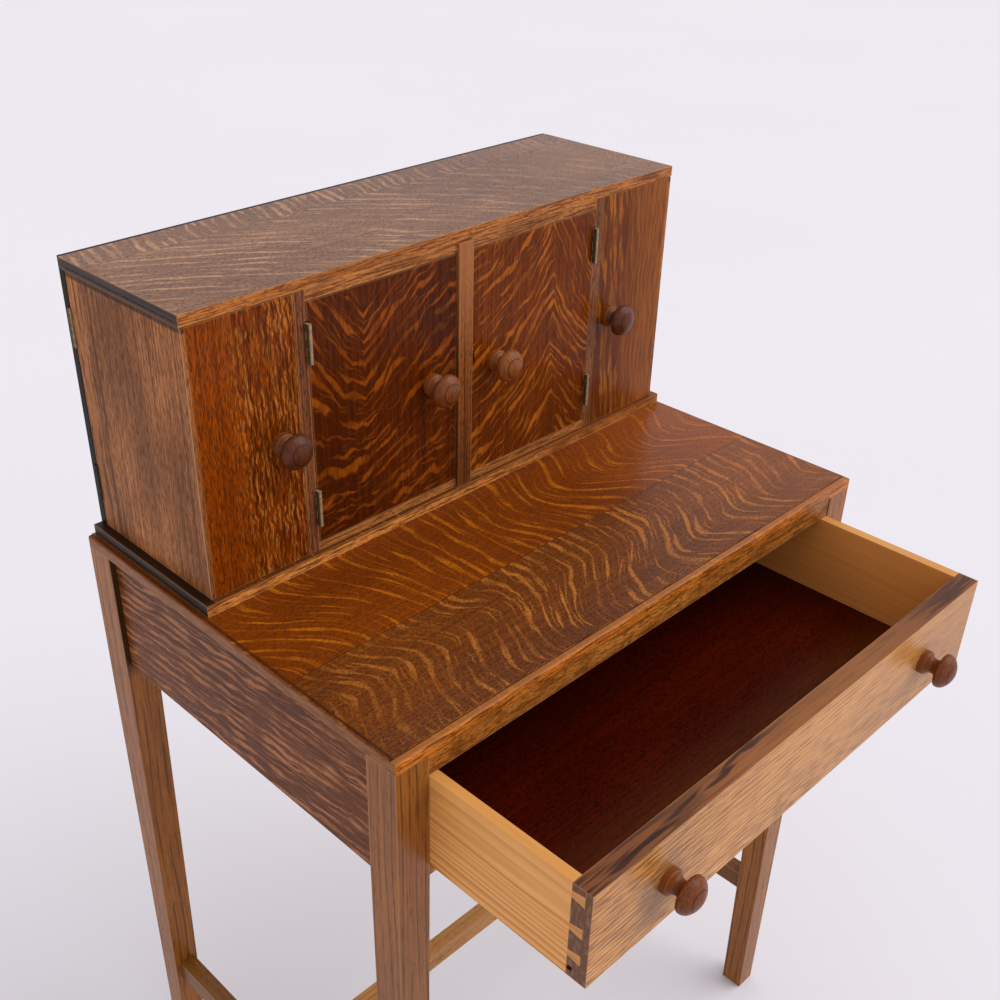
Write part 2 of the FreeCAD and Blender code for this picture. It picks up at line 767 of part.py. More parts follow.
def knob(label, prefix, x, y, z):
    """A knob facing the front, its foot on the face at y."""

    def own(text):
        return re.sub(r"\bown_", prefix + "_", text)

    reach, head = own("own_reach"), own("own_head_radius")
    neck, foot = own("own_neck_radius"), own("own_foot_radius")
    spigot, depth = own("own_spigot_radius"), own("-own_spigot_length")
    outline = [
        (foot, "0"),
        (foot, "%s * foot_edge_share" % reach),
        ("%s * foot_shoulder_share" % foot, "%s * foot_top_share" % reach),
        (neck, "%s * neck_share" % reach),
        ("%s * under_radius_share" % head, "%s * head_under_share" % reach),
        (head, "%s * head_back_share" % reach),
        ("%s * face_radius_share" % head, "%s * head_front_share" % reach),
        ("0", reach),
    ]
    bends = {}
    for run, turn in ((1, 1), (2, -1), (3, -1), (4, 1), (5, 1)):
        bends[run] = (arc_along_axis(outline[run], outline[run + 1]), turn)
    bends[6] = (arc_along_axis(outline[6][::-1], outline[7][::-1]), 1)
    corners = [("0", depth), (spigot, depth), (spigot, "0")] + outline
    bends = {run + 3: bend for run, bend in bends.items()}
    facing = FreeCAD.Rotation(FreeCAD.Vector(1, 0, 0), 90)
    body = new_body(x, y, z, facing)
    sketch = draw(body, "XZ_Plane", corners, bends)
    turned = body.newObject("PartDesign::Revolution", "Turned")
    turned.Profile = sketch
    turned.ReferenceAxis = (sketch, ["V_Axis"])
    keep(body, label)


def knob_hole(prefix, x, y, z):
    radius = "%s_spigot_radius + spigot_clearance" % prefix
    return rod("+Y", x, "%s - overrun" % y, z, radius, "%s_spigot_length + overrun" % prefix)


def drawer_knob_spot(side):
    out = "drawer_half - %s_drawer_knob_setback" % side
    return at_side(side, out), "drawer_face", "drawer_low + drawer_knob_rise"


def drawer_knob_hole(side):
    return knob_hole("drawer_knob", *drawer_knob_spot(side))


def drawer():
    drawer_front()
    for side in SIDES:
        drawer_side(side)
        knob("drawer_%s_knob" % side, "drawer_knob", *drawer_knob_spot(side))
    keep(drawer_back_board(), "drawer_back")
    keep(drawer_bottom_board(), "drawer_bottom")


# Hinges. A leaf is a plate let into the wood, with necks that reach its own share of the knuckles.


def centre_leaf(side, which):
    """Plan of a centre hinge leaf: its plate and its neck, each as a span in X and a span in Y."""
    near = {"fixed": "middle_half_width", "moving": "centre_hinge_edge - leaf_thickness"}[which]
    x = on_side(side, near, "%s + leaf_thickness" % near)
    plate = (x, ("cupboard_front", "cupboard_front + leaf_width"))
    return plate, (x, ("centre_axis_depth", "cupboard_front"))


def end_leaf(side, which):
    """Plan of an end hinge leaf: its plate and its neck, each as a span in X and a span in Y."""
    inner = "end_leaf_edge - end_leaf_width"
    if which == "fixed":
        y = ("strip_front", "strip_front + leaf_thickness")
        neck_x = on_side(side, "end_leaf_edge", "end_axis_out")
        return (on_side(side, inner, "end_leaf_edge"), y), (neck_x, y)
    y = ("end_side_back - leaf_thickness", "end_side_back")
    neck_x = on_side(side, "end_axis_out - leaf_thickness", "end_axis_out")
    return (on_side(side, inner, "cupboard_half"), y), (neck_x, (y[0], "end_axis_depth"))


LEAF_PLANS = {"centre": centre_leaf, "end": end_leaf}


def hinge_axis(kind, side):
    """Where a hinge's pin stands in plan."""
    return at_side(side, "%s_axis_out" % kind), "%s_axis_depth" % kind


def leaf(kind, side, which, low):
    """One hinge leaf, its knuckles bored for the pin."""
    axis = hinge_axis(kind, side)
    plate, neck = LEAF_PLANS[kind](side, which)
    pieces = [box(*plate, (low, "%s + hinge_length" % low))]
    knuckles, play = (FIXED_KNUCKLES, "0") if which == "fixed" else (MOVING_KNUCKLES, "knuckle_play")
    for knuckle in knuckles:
        start = "%s + hinge_length * %d / %d + %s" % (low, knuckle, KNUCKLES, play)
        length = "hinge_length / %d - 2 * %s" % (KNUCKLES, play)
        pieces.append(box(*neck, (start, "%s + %s" % (start, length))))
        pieces.append(rod("+Z", *axis, start, "barrel_radius", length))
    bore_low, bore_length = "%s - overrun" % low, "hinge_length + 2 * overrun"
    bore = rod("+Z", *axis, bore_low, "pin_radius + pin_clearance", bore_length)
    return carved(joined(pieces), [bore])


def leaves(kind, side, which):
    return [leaf(kind, side, which, low) for low in HINGE_LOWS[kind]]


def leaf_recesses(kind, side, which):
    """Recesses for the plates, cut a little past them, and room for the end hinges' knuckles."""
    plate, neck = LEAF_PLANS[kind](side, which)
    tools = []
    for low in HINGE_LOWS[kind]:
        tools.append(box(*plate, (low, "%s + hinge_length + recess_overcut" % low)))
        if kind == "end" and which == "fixed":
            length = "hinge_length + recess_overcut"
            tools.append(box(*neck, (low, "%s + %s" % (low, length))))
            radius = "barrel_radius + barrel_clearance"
            tools.append(rod("+Z", *hinge_axis(kind, side), low, radius, length))
    return tools


def fixed_hinge_leaves():
    found = [piece for kind in ("end", "centre") for side in SIDES for piece in leaves(kind, side, "fixed")]
    keep(gathered(found), "fixed_hinge_leaves")


def hinge_pins():
    pins = []
    for kind in ("end", "centre"):
        for side in SIDES:
            for low in HINGE_LOWS[kind]:
                pins.append(rod("+Z", *hinge_axis(kind, side), low, "pin_radius", "hinge_length"))
    keep(gathered(pins), "hinge_pins")


# Catches. Three doors have a ball catch in the free edge; the right centre door has a latch in a slot.


# For each kind of door, where its free edge is and the face that the edge meets.
MEETINGS = {"end": ("end_free_edge", "partition_outer"), "centre": ("centre_free_edge", "stile_half")}


def ball_catch(kind, side, clearance="0"):
    """A barrel let into the free edge, with a ball that stands a little proud of it."""
    edge = MEETINGS[kind][0]
    inward = "+X" if side == "right" else "-X"
    y = "cupboard_front + barrel_catch_depth"
    radius = "barrel_catch_radius + %s" % clearance
    barrel = rod(inward, at_side(side, edge), y, "ball_catch_height", radius, "barrel_catch_length")
    if clearance != "0":
        return barrel
    ball = document.addObject("Part::Sphere", "Ball")
    out = "%s + ball_radius - ball_proud" % edge
    bind(ball, x=at_side(side, out), y=y, z="ball_catch_height", Radius="ball_radius")
    return joined([barrel, ball])


def latch_slot():
    """Slot in the front corner of the right centre door's free edge."""
    x = ("centre_free_edge", "centre_free_edge + latch_width")
    return x, ("cupboard_front", "cupboard_front + latch_depth"), centred("latch_middle", "latch_length")


def latch():
    """The plate at the bottom of the slot and the thumb piece at its upper end."""
    x, y, z = latch_slot()
    plate = box(x, ("%s - latch_plate" % y[1], y[1]), z)
    thumb_low = "%s - latch_thumb" % z[1]
    thumb = box(x, ("cupboard_front + latch_plate / 2", y[1]), (thumb_low, z[1]))
    keep(joined([plate, thumb]), "right_centre_door_latch")


def strike_box(kind, side, height):
    """Plate let into the face that a free edge meets."""
    meets = MEETINGS[kind][1]
    x = on_side(side, "%s - strike_thickness" % meets, meets)
    y = centred("cupboard_front + barrel_catch_depth", "strike_width")
    return x, y, centred(height, "strike_length")


STRIKES = (
    ("end", "left", "ball_catch_height"),
    ("centre", "left", "ball_catch_height"),
    ("centre", "right", "latch_middle"),
    ("end", "right", "ball_catch_height"),
)


def catch_strikes():
    plates = []
    for kind, side, height in STRIKES:
        plate = box(*strike_box(kind, side, height))
        meets = MEETINGS[kind][1]
        x = on_side(side, "%s - strike_thickness - overrun" % meets, meets)[0]
        y = "cupboard_front + barrel_catch_depth"
        hole = rod("+X", x, y, height, "strike_hole_radius", "strike_thickness + 2 * overrun")
        plates.append(carved(plate, [hole]))
    keep(gathered(plates), "catch_strikes")


def strike_recesses(kind, side):
    return [box(*strike_box(*strike)) for strike in STRIKES if strike[:2] == (kind, side)]


# The cupboard carcass.


def partition_tongue(side, end):
    """Bare-faced tongue at one end of a partition, stopped short of the front."""
    x = on_side(side, "middle_half_width", "partition_outer")
    y = ("cupboard_front + housing_stop", "back_board_front")
    z = {
        "low": ("base_top - housing_depth", "base_top"),
        "high": ("cap_under", "cap_under + housing_depth"),
    }[end]
    return box(x, y, z)


def board_tongue(side, which):
    """Tongue that joins the middle bay's top or bottom board to a partition."""
    x = on_side(side, "middle_half_width", "middle_half_width + board_tongue_length")
    y = ("cupboard_front + housing_stop", "back_board_front")
    z = {
        "bottom": ("base_top + board_tongue_shoulder", "middle_floor - board_tongue_shoulder"),
        "top": ("middle_ceiling + board_tongue_shoulder", "cap_under - board_tongue_shoulder"),
    }[which]
    return box(x, y, z)


def cupboard_base():
    x = ("-base_half", "base_half")
    y = ("cupboard_front - base_step", "cupboard_back")
    board = box(x, y, ("table_height", "base_top"))
    tools = [partition_tongue(side, "low") for side in SIDES] + cupboard_screw_tools()
    keep(carved(board, tools), "cupboard_base_board")


def cupboard_cap():
    """Cap board with a fine groove along each end."""
    y = ("cupboard_front", "back_board_front")
    board = box(("-cap_half", "cap_half"), y, ("cap_under", "cap_top"))
    tools = [partition_tongue(side, "high") for side in SIDES]
    for side in SIDES:
        groove_x = on_side(side, "cap_half - cap_groove_depth", "cap_half + overrun")
        groove_y = ("cupboard_front - overrun", "back_board_front + overrun")
        groove_z = ("cap_top - cap_groove_drop - cap_groove_width", "cap_top - cap_groove_drop")
        tools.append(box(groove_x, groove_y, groove_z))
    keep(carved(board, tools), "cupboard_cap_board")


def cupboard_back():
    """Back board, and the strip at each of its edges that an end door hangs on."""
    x = ("-cupboard_half", "cupboard_half")
    board = box(x, ("back_board_front", "cupboard_back"), ("base_top", "cap_top"))
    keep(board, "cupboard_back_board")
    strips = []
    for side in SIDES:
        strip_x = on_side(side, "cupboard_half - hanging_strip_width", "cupboard_half")
        strip = box(strip_x, ("strip_front", "back_board_front"), ("base_top", "cap_under"))
        strips.append(carved(strip, leaf_recesses("end", side, "fixed")))
    keep(gathered(strips), "door_hanging_strips")


def partition(side):
    """Upright division; its front edge shows as a stile between the end door and the centre door."""
    x = on_side(side, "middle_half_width", "partition_outer")
    board = box(x, ("cupboard_front", "back_board_front"), ("base_top", "cap_under"))
    whole = joined([board, partition_tongue(side, "low"), partition_tongue(side, "high")])
    tools = [board_tongue(side, which) for which in ("bottom", "top")]
    tools += leaf_recesses("centre", side, "fixed")
    tools += strike_recesses("end", side)
    keep(carved(whole, tools), "%s_partition" % side)


def middle_board(which):
    """Top or bottom board of the middle bay, notched for the centre stile."""
    z = {"bottom": ("base_top", "middle_floor"), "top": ("middle_ceiling", "cap_under")}[which]
    x = ("-middle_half_width", "middle_half_width")
    board = box(x, ("cupboard_front", "back_board_front"), z)
    whole = joined([board] + [board_tongue(side, which) for side in SIDES])
    notch_z = ("%s - overrun" % z[0], "%s + overrun" % z[1])
    notch = box(("-stile_half", "stile_half"), ("cupboard_front - overrun", "lap_back"), notch_z)
    keep(carved(whole, [notch]), "middle_%s_board" % which)


def centre_stile():
    """Stile between the centre doors, lapped over the two middle boards and proud of the doors."""
    x = ("-stile_half", "stile_half")
    face = box(x, ("cupboard_front - stile_proud", "lap_back"), ("base_top", "cap_under - stile_top_gap"))
    core = box(x, ("lap_back", "stile_back"), ("middle_floor", "middle_ceiling"))
    recesses = strike_recesses("centre", "left") + strike_recesses("centre", "right")
    keep(carved(joined([face, core]), recesses), "centre_stile")


# The doors.


def end_knob_spot(side):
    out = "end_free_edge + %s_end_knob_setback" % side
    return at_side(side, out), "cupboard_front", "door_knob_height"


def centre_knob_spot(side):
    out = "centre_free_edge + %s_centre_knob_setback" % side
    return at_side(side, out), "cupboard_front", "door_knob_height"


def end_door(side):
    """L-shaped door: it opens the end of the cupboard and the front beside it together.

    The end of the front panel sits in a rebate of the side panel.
    """
    z = ("end_door_low", "end_door_high")
    side_x = on_side(side, "end_side_inner", "cupboard_half")
    side_panel = box(side_x, ("cupboard_front", "end_side_back"), z)
    rebate_x = on_side(side, "end_side_inner - overrun", "corner_lip_inner")
    rebate_z = ("end_door_low - overrun", "end_door_high + overrun")
    rebate = box(rebate_x, ("cupboard_front - overrun", "end_front_back"), rebate_z)
    side_tools = [rebate] + leaf_recesses("end", side, "moving")
    keep(carved(side_panel, side_tools), "%s_end_door_side_panel" % side)
    front_x = on_side(side, "end_free_edge", "corner_lip_inner")
    front_panel = box(front_x, ("cupboard_front", "end_front_back"), z)
    front_tools = [knob_hole("door_knob", *end_knob_spot(side))]
    front_tools.append(ball_catch("end", side, "spigot_clearance"))
    keep(carved(front_panel, front_tools), "%s_end_door_front_panel" % side)
    knob("%s_end_door_knob" % side, "door_knob", *end_knob_spot(side))
    keep(gathered(leaves("end", side, "moving")), "%s_end_door_hinge_leaves" % side)
    keep(ball_catch("end", side), "%s_end_door_catch" % side)


def centre_door(side):
    x = on_side(side, "centre_free_edge", "centre_hinge_edge")
    board = box(x, ("cupboard_front", "centre_door_back"), ("centre_door_low", "centre_door_high"))
    tools = leaf_recesses("centre", side, "moving")
    tools.append(knob_hole("door_knob", *centre_knob_spot(side)))
    if side == "left":
        tools.append(ball_catch("centre", side, "spigot_clearance"))
        keep(ball_catch("centre", side), "left_centre_door_catch")
    else:
        tools.append(box(*latch_slot()))
        latch()
    keep(carved(board, tools), "%s_centre_door" % side)
    knob("%s_centre_door_knob" % side, "door_knob", *centre_knob_spot(side))
    keep(gathered(leaves("centre", side, "moving")), "%s_centre_door_hinge_leaves" % side)


def build():
    fill_sheet()
    for side in SIDES:
        for end in ("front", "back"):
            leg(side, end)
        side_apron(side)
        side_stretcher(side)
        drawer_runner(side)
        drawer_guide(side)
        drawer_kicker(side)
    back_apron()
    upper_front_rail()
    lower_front_rail()
    cross_stretcher()
    drawer_stops()
    screws()
    table_top()
    drawer()
    cupboard_base()
    cupboard_cap()
    cupboard_back()
    for side in SIDES:
        partition(side)
    middle_board("bottom")
    middle_board("top")
    centre_stile()
    for side in SIDES:
        end_door(side)
        centre_door(side)
    fixed_hinge_leaves()
    hinge_pins()
    catch_strikes()
    document.recompute()


def check():
    """Stop if any object failed or any piece is empty or broken."""
    for thing in document.Objects:
        if "Invalid" in thing.State or "Error" in thing.State:
            raise RuntimeError("%s (%s) failed: %s" % (thing.Name, thing.Label, thing.State))
    for node in nodes:
        if node.Shape.isNull() or not node.Shape.isValid() or not node.Shape.Solids:
            raise RuntimeError("%s has no sound shape" % node.Label)


def write():
    os.makedirs("parts", exist_ok=True)
    for node in nodes:
        node.Shape.exportStep("parts/%s.step" % node.Label)


build()
check()
write()
print("%d pieces written" % len(nodes))
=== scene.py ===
import math

import bpy
from mathutils import Matrix, Vector


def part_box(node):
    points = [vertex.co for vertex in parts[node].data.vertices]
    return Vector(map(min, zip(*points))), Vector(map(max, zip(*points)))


# A small stained oak writing desk: a stand of straight-grained oak, a top and a cupboard of
# quarter-sawn oak with its ray flecks, a drawer with pine sides, and turned oak knobs.
# Patterns are laid out in millimetres, in the same frame as the desk itself.

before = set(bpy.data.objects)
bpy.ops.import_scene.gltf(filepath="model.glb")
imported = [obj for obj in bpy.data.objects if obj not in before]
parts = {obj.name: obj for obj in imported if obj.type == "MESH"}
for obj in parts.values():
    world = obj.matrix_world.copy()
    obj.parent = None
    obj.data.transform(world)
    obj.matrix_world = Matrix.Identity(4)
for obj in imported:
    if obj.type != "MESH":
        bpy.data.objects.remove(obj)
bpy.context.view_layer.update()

METRE = 1000.0                       # millimetres in a metre
NOISE_SPAN = (0.25, 0.75)            # what a noise texture gives, all but its rare extremes


# Small helpers.

def linear(shade):
    """A hex colour as it looks on a screen, as the linear colour that a shader works in."""
    found = []
    for at in (1, 3, 5):
        level = int(shade[at:at + 2], 16) / 255
        found.append(level / 12.92 if level <= 0.04045 else ((level + 0.055) / 1.055) ** 2.4)
    return (*found, 1.0)


def add(tree, kind, links=None, **settings):
    """Add one shader node with its settings, join or fill its inputs, and return its outputs.

    Inputs are numbered where the node has no plain names for them. A MapRange takes the value as
    0, the range's ends as 1 and 2, and what it gives at those ends as 3 and 4. A Mix takes its
    share as 0, then 2 and 3 for numbers or 6 and 7 for colours, which it gives as output 2.
    """
    made = tree.nodes.new("ShaderNode" + kind)
    for name, value in settings.items():
        setattr(made, name, value)
    for place, value in (links or {}).items():
        if isinstance(value, bpy.types.NodeSocket):
            tree.links.new(value, made.inputs[place])
        else:
            made.inputs[place].default_value = value
    return made.outputs


def blank(name):
    """A new material with an empty node tree."""
    material = bpy.data.materials.new(name)
    material.use_nodes = True
    material.node_tree.nodes.clear()
    return material, material.node_tree


def give(material, *names):
    """Put one finish on these pieces of the desk."""
    for name in names:
        slots = parts[name].data.materials
        slots.clear()
        slots.append(material)


def stain(tree, wood, shade, *shares):
    """Lay a colour over the wood, as far as the shares say once they are multiplied together."""
    amount = shares[0]
    for share in shares[1:]:
        amount = add(tree, "Math", {0: amount, 1: share}, operation="MULTIPLY")[0]
    return add(tree, "Mix", {0: amount, 6: wood, 7: linear(shade)}, data_type="RGBA")[2]


# Where a point is.

def place_in_mm(tree):
    """A point of the desk in millimetres, as x, y and z, fixed to the piece it is on."""
    point = add(tree, "TexCoord")["Object"]
    scaled = add(tree, "VectorMath", {0: point, "Scale": METRE}, operation="SCALE")["Vector"]
    return add(tree, "SeparateXYZ", {0: scaled})


# For each direction of the grain: the axis along it, across it and through the board.
AXES = {"x": (0, 1, 2), "y": (1, 0, 2), "z": (2, 0, 1)}
SEED_STEPS = (1.0, 0.37, 1.71)       # how far a seed moves a pattern, in its own lengths


def new_wood(name, grain):
    """A new material and its node tree, a point's place, and its place along the grain."""
    material, tree = blank(name)
    spot = place_in_mm(tree)
    return material, tree, spot, [spot[n] for n in AXES[grain]]


def stretched(tree, grain, lengths, seed):
    """A place in the board, measured in the pattern's own lengths, which are in millimetres.
    grain is the place along the grain, across it and through the board."""
    joined = add(tree, "CombineXYZ", {0: grain[0], 1: grain[1], 2: grain[2]})[0]
    shares = tuple(1 / length for length in lengths)
    moved = tuple(seed * step for step in SEED_STEPS)
    return add(tree, "VectorMath", {0: joined, 1: shares, 2: moved},
               operation="MULTIPLY_ADD")[0]


def unsteady(tree, place, grain, lengths, seed, reach, detail=1.5):
    """A place that wanders up to about reach mm to either side, as the grain of a tree does."""
    path = stretched(tree, grain, lengths, seed)
    drift = add(tree, "TexNoise", {"Vector": path, "Scale": 1.0, "Detail": detail})[0]
    swing = add(tree, "MapRange", {0: drift, 1: NOISE_SPAN[0], 2: NOISE_SPAN[1], 3: -reach,
                                   4: reach}, clamp=False)[0]
    return add(tree, "Math", {0: place, 1: swing}, operation="ADD")[0]


def apart(tree, place, other):
    """How far apart two places are."""
    off = add(tree, "Math", {0: place, 1: other}, operation="SUBTRACT")[0]
    return add(tree, "Math", {0: off}, operation="ABSOLUTE")[0]


def two_sides(tree, place, middle):
    """How far a place is below a middle, as a number under 0, and how far it is above. Each is 0
    on the other side."""
    off = add(tree, "Math", {0: place, 1: middle}, operation="SUBTRACT")[0]
    below = add(tree, "Math", {0: off, 1: 0.0}, operation="MINIMUM")[0]
    above = add(tree, "Math", {0: off, 1: 0.0}, operation="MAXIMUM")[0]
    return below, above


def band(tree, place, low, high, soft=0.6):
    """1 between two places in millimetres, and 0 from soft millimetres outside them."""
    size = apart(tree, place, (low + high) / 2)
    half = (high - low) / 2
    return add(tree, "MapRange", {0: size, 1: half, 2: half + soft, 3: 1.0, 4: 0.0},
               interpolation_type="SMOOTHSTEP")[0]


def facing(tree, axis, sign=0):
    """1 where a face of the piece looks along that axis to within 37 degrees, on the given side
    or on either, and 0 from 53 degrees."""
    normal = add(tree, "TexCoord")["Normal"]
    part = add(tree, "SeparateXYZ", {0: normal})["XYZ".index(axis)]
    if sign == 0:
        part = add(tree, "Math", {0: part}, operation="ABSOLUTE")[0]
    elif sign < 0:
        part = add(tree, "Math", {0: part, 1: -1.0}, operation="MULTIPLY")[0]
    low, high = 0.6, 0.8             # the cosines of 53 and 37 degrees
    return add(tree, "MapRange", {0: part, 1: low, 2: high, 3: 0.0, 4: 1.0})[0]


def near_arris(tree, x, y, z, pieces, reach):
    """1 at the arrises of a board, or of boards glued together, and 0 from reach mm away."""
    boxes = [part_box(piece) for piece in pieces]
    gaps = []
    for axis, place in enumerate((x, y, z)):
        first = min(box[0][axis] for box in boxes) * METRE
        last = max(box[1][axis] for box in boxes) * METRE
        size = apart(tree, place, (first + last) / 2)
        gaps.append(add(tree, "Math", {0: (last - first) / 2, 1: size},
                        operation="SUBTRACT")[0])
    least = add(tree, "Math", {0: gaps[0], 1: gaps[1]}, operation="MINIMUM")[0]
    most = add(tree, "Math", {0: gaps[0], 1: gaps[1]}, operation="MAXIMUM")[0]
    second = add(tree, "Math", {0: most, 1: gaps[2]}, operation="MINIMUM")[0]
    middle = add(tree, "Math", {0: least, 1: second}, operation="MAXIMUM")[0]
    return add(tree, "MapRange", {0: middle, 1: 0.0, 2: reach, 3: 1.0, 4: 0.0})[0]


# What oak shows.

LINE_LENGTH = 260.0                  # how far a line of growth runs before it changes, in mm


def pores(tree, grain, seed, length, width, few, soft=0.07):
    """Open pores of oak, dark dashes of about this length and width in millimetres, and fewer as
    few rises. Real ones are 0.3 mm wide, drawn wider to show. Wider ones serve as streaks."""
    place = stretched(tree, grain, (length, width, width), seed)
    spots = add(tree, "TexNoise", {"Vector": place, "Scale": 1.0, "Detail": 1.0,
                                   "Roughness": 0.5})[0]
    return add(tree, "MapRange", {0: spots, 1: few, 2: few + soft, 3: 0.0, 4: 1.0},
               interpolation_type="SMOOTHSTEP")[0]


def pore_rows(tree, grain, seed, gap, width, length, few):
    """Rows of pores, a broken dark line for each year's growth, gap mm apart. The rings cross
    the board's corner at a slant, so that the rows show on both of its faces."""
    across, through = 0.72, 0.69     # the slant's two parts
    wander = 4.8                     # how far the rings drift, in rings
    edge = 0.7                       # how soft a row's edges are, in millimetres
    path = stretched(tree, grain, (LINE_LENGTH, 40.0, 40.0), seed)
    drift = add(tree, "TexNoise", {"Vector": path, "Scale": 1.0, "Detail": 1.0})[0]
    slant = add(tree, "Math", {0: grain[1], 1: across / gap}, operation="MULTIPLY")[0]
    slant = add(tree, "Math", {0: grain[2], 1: through / gap, 2: slant},
                operation="MULTIPLY_ADD")[0]
    rings = add(tree, "Math", {0: drift, 1: wander, 2: slant}, operation="MULTIPLY_ADD")[0]
    turn = add(tree, "Math", {0: rings, 1: 1.0}, operation="PINGPONG")[0]
    line = add(tree, "MapRange", {0: turn, 1: width / gap, 2: (width + edge) / gap, 3: 1.0,
                                  4: 0.0}, interpolation_type="SMOOTHSTEP")[0]
    broken = pores(tree, grain, seed + 3.0, length=length, width=1.6, few=few, soft=0.14)
    return add(tree, "Math", {0: line, 1: broken}, operation="MULTIPLY")[0]


def stained_wood(tree, grain, seed, dark, mid, light, contrast, mottle, width=2.6, size=90.0):
    """Wood before its pores and flecks: lines along the grain from the growth rings, about width
    mm wide, and soft changes of tone over size mm where the stain took more or less. A line is
    dark where its noise is low and light where it is high."""
    place = stretched(tree, grain, (LINE_LENGTH, width, width), seed)
    lines = add(tree, "TexNoise", {"Vector": place, "Scale": 1.0, "Detail": 3.0,
                                   "Roughness": 0.6})[0]
    low = add(tree, "MapRange", {0: lines, 1: 0.34, 2: 0.52, 3: contrast, 4: 0.0})[0]
    high = add(tree, "MapRange", {0: lines, 1: 0.48, 2: 0.68, 3: 0.0, 4: contrast})[0]
    wood = stain(tree, linear(mid), dark, low)
    wood = stain(tree, wood, light, high)
    place = stretched(tree, grain, (size * 2.2, size, size), seed + 2.0)
    tone = add(tree, "TexNoise", {"Vector": place, "Scale": 1.0, "Detail": 3.0,
                                  "Roughness": 0.55})[0]
    cloud = add(tree, "MapRange", {0: tone, 1: 0.36, 2: 0.64, 3: 0.0, 4: mottle})[0]
    return stain(tree, wood, dark, cloud)


def ray_flecks(tree, over, along, seed, gap, width, length, few=0.46, wander=4.0, soft=0.9):
    """Ray flecks of quarter-sawn oak: pale strokes that taper to both ends, in rows gap mm
    apart. over is measured across the rows and along with them, both in millimetres. The rows
    wander sideways together. Each row has its own middle and its own shift along it, and a
    stroke ends where its noise falls below few."""
    moved = unsteady(tree, over, (along, over, 0.0), (length * 0.7, gap * 2.4, 1.0), seed,
                     wander, detail=2.0)
    rows = add(tree, "Math", {0: moved, 1: 1 / gap, 2: seed}, operation="MULTIPLY_ADD")[0]
    row = add(tree, "Math", {0: rows}, operation="FLOOR")[0]
    chance = add(tree, "TexWhiteNoise", {"W": row}, noise_dimensions="1D")[0]
    middle = add(tree, "MapRange", {0: chance, 1: 0.0, 2: 1.0, 3: 0.3, 4: 0.7})[0]
    inside = add(tree, "Math", {0: rows}, operation="FRACT")[0]
    off = apart(tree, inside, middle)
    shift = add(tree, "Math", {0: chance, 1: 91.0 * length, 2: along},
                operation="MULTIPLY_ADD")[0]
    stroke = stretched(tree, (shift, row, 0.0), (length, 0.31, 1.0), seed + 1.7)
    strength = add(tree, "TexNoise", {"Vector": stroke, "Scale": 1.0, "Detail": 1.5,
                                      "Roughness": 0.5})[0]
    half = add(tree, "MapRange", {0: strength, 1: few, 2: few + 0.20, 3: 0.0, 4: width / 2})[0]
    depth = add(tree, "Math", {0: off, 1: -gap, 2: half}, operation="MULTIPLY_ADD")[0]
    return add(tree, "MapRange", {0: depth, 1: -soft * 0.4, 2: soft, 3: 0.0, 4: 1.0},
               interpolation_type="SMOOTHSTEP")[0]


def flecks_of_two_sizes(tree, over, along, seed, broad, thin, soft, share=0.7):
    """Broad flecks with thinner, fainter ones between them. Each size is given as gap, width and
    length, how few there are and how far they wander."""
    large = ray_flecks(tree, over, along, seed, *broad, soft=soft)
    small = ray_flecks(tree, over, along, seed + 6.0, *thin, soft=soft)
    faint = add(tree, "Math", {0: small, 1: share}, operation="MULTIPLY")[0]
    return add(tree, "Math", {0: large, 1: faint}, operation="MAXIMUM")[0]


def bent(tree, over, along, start, end, bends):
    """The place across the flecks where they bend, as they run from start to end. Each bend moves
    them sideways by first mm at low and by last mm at high, between two shares of that run."""
    run = add(tree, "MapRange", {0: along, 1: start, 2: end, 3: 0.0, 4: 1.0})[0]
    for low, high, first, last, begin, stop in bends:
        amount = add(tree, "MapRange", {0: over, 1: low, 2: high, 3: first, 4: last},
                     interpolation_type="SMOOTHSTEP")[0]
        part = add(tree, "MapRange", {0: run, 1: min(begin, stop), 2: max(begin, stop),
                                      3: float(begin > stop), 4: float(begin <= stop)},
                   interpolation_type="SMOOTHSTEP")[0]
        step = add(tree, "Math", {0: amount, 1: part}, operation="MULTIPLY")[0]
        over = add(tree, "Math", {0: over, 1: step}, operation="SUBTRACT")[0]
    return over


def finished(tree, colour, pits, roughness, shine, depth=0.05):
    """Waxed or shellacked wood: IOR 1.5, a soft shine, and duller pores depth mm deep. An old,
    worn finish shines less than a new one, which shine says."""
    height = add(tree, "Math", {0: 1.0, 1: pits}, operation="SUBTRACT")[0]
    normal = add(tree, "Bump", {"Height": height, "Strength": 0.3,
                                "Distance": depth / METRE})[0]
    dull = add(tree, "MapRange", {0: pits, 1: 0.0, 2: 1.0, 3: roughness, 4: roughness + 0.12})[0]
    shader = add(tree, "BsdfPrincipled", {"Base Color": colour, "Roughness": dull,
                                          "Normal": normal, "IOR": 1.5,
                                          "Specular IOR Level": shine})[0]
    add(tree, "OutputMaterial", {"Surface": shader})


